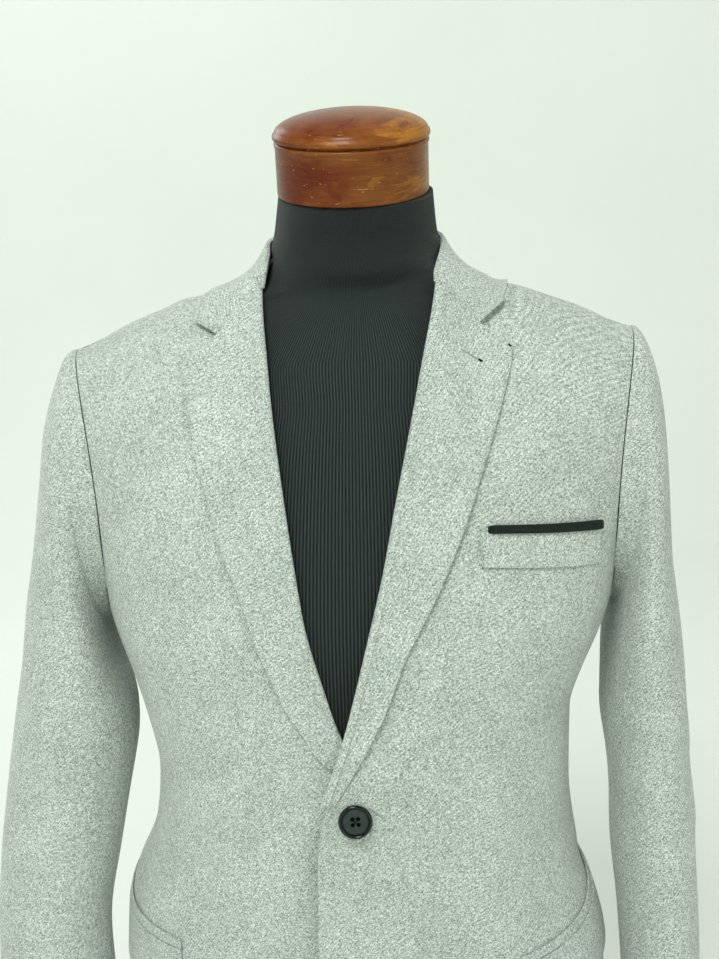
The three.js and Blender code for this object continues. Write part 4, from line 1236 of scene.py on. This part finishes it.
@dataclass
class Button:
    """Four-hole cast button with a sunk face and a raised rim, sewn on with crossed thread.

    Its sizes are in millimetres.
    """

    radius: float = 12.5
    thick: float = 3.4
    rim: float = 2.9
    hole: float = 1.6  # radius
    pitch: float = 4.2
    gap: float = 0.12  # between the face and the rim
    backing: float = 0.3  # resin left behind each hole
    soft_edge: float = 0.18
    tilt: float = 83  # degrees from lying flat
    twist: float = 2  # degrees round its own axis
    segments: int = 72

    def place(self) -> Matrix:
        """Finds the button's place.

        Returns:
            The turn and shift from its own axes to the front.
        """
        low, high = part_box("button_rim")
        lean = Matrix.Rotation(math.radians(self.tilt), 4, "X")
        facing = lean @ Matrix.Rotation(math.radians(self.twist), 4, "Z")
        return Matrix.Translation((low + high) / 2 - facing @ Vector((0, 0, self.thick / 2 * MM))) @ facing

    def build(self) -> None:
        """Builds the rim, the face and the thread."""
        self.build_rim()
        self.build_face()
        self.build_thread()

    def build_rim(self) -> None:
        """Rounded ring round the face, in millimetres out from the face's edge and up."""
        inner = self.radius - self.rim
        section = ((-0.1, 1.9), (0.25, 2.3), (0.7, 3.0), (1.2, 3.32), (1.7, 3.36), (2.3, 3.0), (2.75, 2.3))
        section += ((2.88, 1.5), (2.6, 0.6), (1.8, 0.1), (0.6, 0.05), (-0.1, 0.4), (-0.1, 1.9))
        mesh = lathe([((inner + out) * MM, up * MM) for out, up in section], self.segments)
        mesh.transform(self.place())
        ride(new_piece("button_rim_resin", mesh, RESIN_RIM), "button_resin", "button_rim")

    def build_face(self) -> None:
        """Sunk face with its four holes, lined with the black thread's finish: partly the thread that runs
        through them, partly painted shade inside them.
        """
        edge = self.radius - self.rim - self.gap
        profile = ((0, 0.1), (edge, 0.1), (edge, 1.75), (edge - 0.6, 1.95), (edge - 2, 1.82), (0, 1.7))
        mesh = lathe([(r * MM, h * MM) for r, h in profile], self.segments)
        piece = new_piece("button_face_resin", mesh, RESIN_FACE)
        hole, floor, top = self.hole * MM, self.backing * MM, 5 * MM
        cutters: list[bpy.types.Object] = []
        for across, up in ((-1, -1), (-1, 1), (1, -1), (1, 1)):
            drill = lathe([(0, floor), (hole, floor), (hole, top), (0, top)], 20)
            aside = self.pitch / 2 * MM
            drill.transform(Matrix.Translation((across * aside, up * aside, 0)))
            # Each hole's wall and floor take the black thread finish: painted shade inside the hole, and the
            # thread that passes through it.
            cutter = new_piece("drill", drill, DARK_THREAD_AND_HOLE_SHADE)
            cut = piece.modifiers.new("hole", "BOOLEAN")
            cut.object = cutter
            cut.solver = "EXACT"
            cut.material_mode = "TRANSFER"
            cutters.append(cutter)
        apply_modifiers(piece)
        for cutter in cutters:
            bpy.data.objects.remove(cutter)
        piece.data.transform(self.place())
        roll_edges(piece, self.soft_edge, 50)
        ride(piece, "button_resin", "button_face")

    def build_thread(self) -> None:
        """Two strands that cross between opposite holes."""
        tree = stitch_tree()
        strand = Stitch(0.45, 0.9, 0.18, Lie.ALONG, DARK_THREAD_AND_HOLE_SHADE)
        spread, low, arch = self.pitch / 2, 1.2, 1.0
        for number, sign in enumerate((-1, 1)):
            shares = [i / 4 - 1 for i in range(9)]
            corners = [Vector((s * spread, sign * s * spread, low + arch * (1 - s**4))) * MM for s in shares]
            strand.lay(f"button_thread_{number}", [self.place() @ corner for corner in corners], tree)


@dataclass
class DressForm:
    """Knit-covered torso, its turned wooden neck cap and its stand. Sizes are in millimetres."""

    knit_girth: float = 178  # the ribs are counted on a round of this radius
    neck_foot: Span = (0.78, 0.82)  # heights in metres where the tight neck begins
    neck_top: Span = (0.878, 0.862)  # and where it ends
    smoothing: int = 120  # how often the neck's knit is drawn tight
    segments: int = 128

    def build_torso(self) -> None:
        """Smooths the form's solid, draws the knit tight on its neck and lays the ribs upright."""
        piece = smoothed("form_torso_knit", cage_of("form_torso"), KNIT, 2, 3)
        height = points_of(piece.data)[:, 2]
        share = smoothstep(*self.neck_foot, height) * smoothstep(*self.neck_top, height)
        neck = piece.vertex_groups.new(name="neck")
        for index in np.flatnonzero(share):
            neck.add([int(index)], float(share[index]), "REPLACE")
        easing = piece.modifiers.new("drawn tight", "SMOOTH")
        easing.vertex_group = neck.name
        easing.factor = 0.5
        easing.iterations = self.smoothing
        apply_modifiers(piece)
        x, y, z = (points_of(piece.data) / MM).T
        centre = 8.5 * smoothstep(400, 860, z)
        middle = -10 * smoothstep(820, 880, z)
        reach_x = np.interp(z, (170, 440, 600, 790, 846, 872), (188, 168, 198, 190, 90, 61))
        reach_y = np.interp(z, (170, 440, 600, 760, 846, 872), (126, 134, 131, 118, 62, 59))
        turn = np.arctan2((x - centre) / reach_x, -(y - middle) / reach_y)
        add_weave_map(piece.data, np.column_stack([turn * self.knit_girth, z]))
        ride(piece, "rib_knit", "form_torso")

    def build_cap(self) -> None:
        """Turned cap: a band, a dark groove, a rounded rim and a low dome."""
        band, rim, rim_top, crown, steps = 58.0, 59.6, 47.0, 61.5, 14
        profile = [(0, 0), (band - 1.2, 0), (band - 0.3, 0.4), (band, 1.4), (band - 0.1, 36.2)]
        profile += [(band + 0.5, 37.2), (band + 0.75, 38.4), (band + 0.3, 39.5), (band - 1.5, 40.1)]
        profile += [(band - 1.9, 40.7), (band - 1.2, 41.3), (rim - 0.5, 41.8), (rim, 42.8), (rim, 44.4)]
        profile += [(rim - 0.5, 45.8), (rim - 1.7, rim_top)]
        for i in range(1, steps + 1):
            turn = i / steps * math.pi / 2
            rise = rim_top + (crown - rim_top) * math.sin(turn) ** 1.1
            profile.append(((rim - 1.7) * math.cos(turn) ** 0.95, rise))
        profile[-1] = (0, profile[-1][1])
        mesh = lathe([(r * MM, h * MM) for r, h in profile], self.segments)
        lift = Matrix.Translation((0, 0, 0.3 * MM))
        lean = Matrix.Rotation(math.radians(NECK_TILT), 4, "X")
        mesh.transform(Matrix.Translation(NECK_AT) @ lean @ lift)
        ride(new_piece("neck_cap_wood", mesh, WOOD), "varnished_wood", "neck_cap")

    def build_stand(self) -> None:
        """Round plate with a rolled edge, and the pole with its collar."""
        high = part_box("base_plate")[1]
        radius, thick = high.x, high.z
        roll, foot_edge = 4 * MM, 1.2 * MM
        plate = [(0, 0), (radius - foot_edge, 0), (radius, foot_edge)]
        for i in range(9):
            turn = i / 8 * math.pi / 2
            plate.append((radius - roll * (1 - math.cos(turn)), thick - roll * (1 - math.sin(turn))))
        plate.append((0, thick))
        ride(new_piece("base_plate_enamel", lathe(plate, 160), ENAMEL), "stand_metal", "base_plate")
        foot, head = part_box("pole")[0].z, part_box("pole")[1].z
        pole_radius = 12.7 * MM
        pole = [(0, foot), (22 * MM, foot), (22 * MM, foot + 5 * MM), (20.5 * MM, foot + 6.8 * MM)]
        pole += [(15 * MM, foot + 9.5 * MM), (13.4 * MM, foot + 11.5 * MM), (pole_radius, foot + 14 * MM)]
        pole += [(pole_radius, head), (0, head)]
        ride(new_piece("pole_enamel", lathe(pole, 64), ENAMEL), "stand_metal", "pole")

    def build(self) -> None:
        """Builds the torso, the cap and the stand."""
        self.build_torso()
        self.build_cap()
        self.build_stand()


# Studio


@dataclass
class Studio:
    """Pale round backdrop, soft light and the photograph's camera."""

    focal_px: float = 1250  # focal length in the photograph's pixels
    camera_at: tuple[float, float, float] = (0.004, -1.0, 0.865)
    pitch: float = 10  # degrees that the camera is tipped down
    roll: float = 2.4  # degrees that it is rolled
    sensor: float = 24
    sky: float = 0.52  # strength of the even light

    def build(self) -> None:
        """Builds the backdrop, the lights and the camera."""
        bpy.context.scene.view_settings.view_transform = "Standard"
        self.build_backdrop()
        self.build_lights()
        self.build_camera()

    def build_backdrop(self) -> None:
        """A floor that curves up into a wall all round, far outside every view."""
        floor, flat, bend, top = -0.001, 2.6, 1.2, 4.2
        profile = [(0.0, floor), (flat, floor)]
        for turn in np.linspace(0.15, 1.5, 10):
            profile.append((flat + bend * math.sin(turn), floor + bend * (1 - math.cos(turn))))
        profile.append((flat + bend, top))
        new_piece("backdrop", lathe(profile, 96), PAPER)

    def build_lights(self) -> None:
        """A key from the upper left, a weak fill, a lamp behind, a wash on the wall and an even sky."""
        world = bpy.data.worlds.new("studio")
        bpy.context.scene.world = world
        world.use_nodes = True
        sky = world.node_tree.nodes["Background"]
        sky.inputs[0].default_value = linear("#f7faf8")
        sky.inputs[1].default_value = self.sky
        middle = (0, 0, 0.6)
        for name, place, aim, size, power in (
            ("key", (-0.5, -1.8, 2.6), middle, 1.0, 46),
            ("fill", (1.9, -1.6, 1.2), middle, 1.8, 5),
            ("back", (-1.6, 1.9, 2.2), middle, 1.4, 12),
            ("wash", (-0.9, 1.4, 3.3), (-0.9, 3.8, 2.0), 1.6, 30),
        ):
            light = bpy.data.lights.new(name, "AREA")
            light.shape = "DISK"
            light.size = size
            light.energy = power
            light.color = linear("#fbfefc")[:3]
            lamp = new_object(name, light)
            lamp.location = place
            lamp.rotation_euler = (Vector(aim) - Vector(place)).to_track_quat("-Z", "Y").to_euler()

    def build_camera(self) -> None:
        """The photograph's camera: a little above the chest, tipped down and rolled."""
        lens = bpy.data.cameras.new("camera")
        lens.sensor_fit = "VERTICAL"
        lens.sensor_height = self.sensor
        lens.sensor_width = self.sensor * IMAGE_WIDTH / IMAGE_HEIGHT
        lens.lens = self.focal_px / IMAGE_HEIGHT * self.sensor
        camera = new_object("camera", lens)
        down, turn = math.radians(self.pitch), math.radians(self.roll)
        right = Vector((1, 0, 0))
        up = Vector((0, math.sin(down), math.cos(down)))
        ahead = Vector((0, math.cos(down), -math.sin(down)))
        across = right * math.cos(turn) - up * math.sin(turn)
        above = right * math.sin(turn) + up * math.cos(turn)
        axes = Matrix((across, above, -ahead)).transposed().to_4x4()
        camera.matrix_world = Matrix.Translation(self.camera_at) @ axes
        bpy.context.scene.camera = camera


def main() -> None:
    """Builds the part's looks in order."""
    logging.basicConfig(level=logging.INFO, format="%(name)s: %(message)s")
    Studio().build()
    blazer = Blazer()
    blazer.build()
    BreastPiping().build()
    SewnDetails(blazer).build()
    Button().build()
    DressForm().build()


if __name__ == "__main__":
    main()
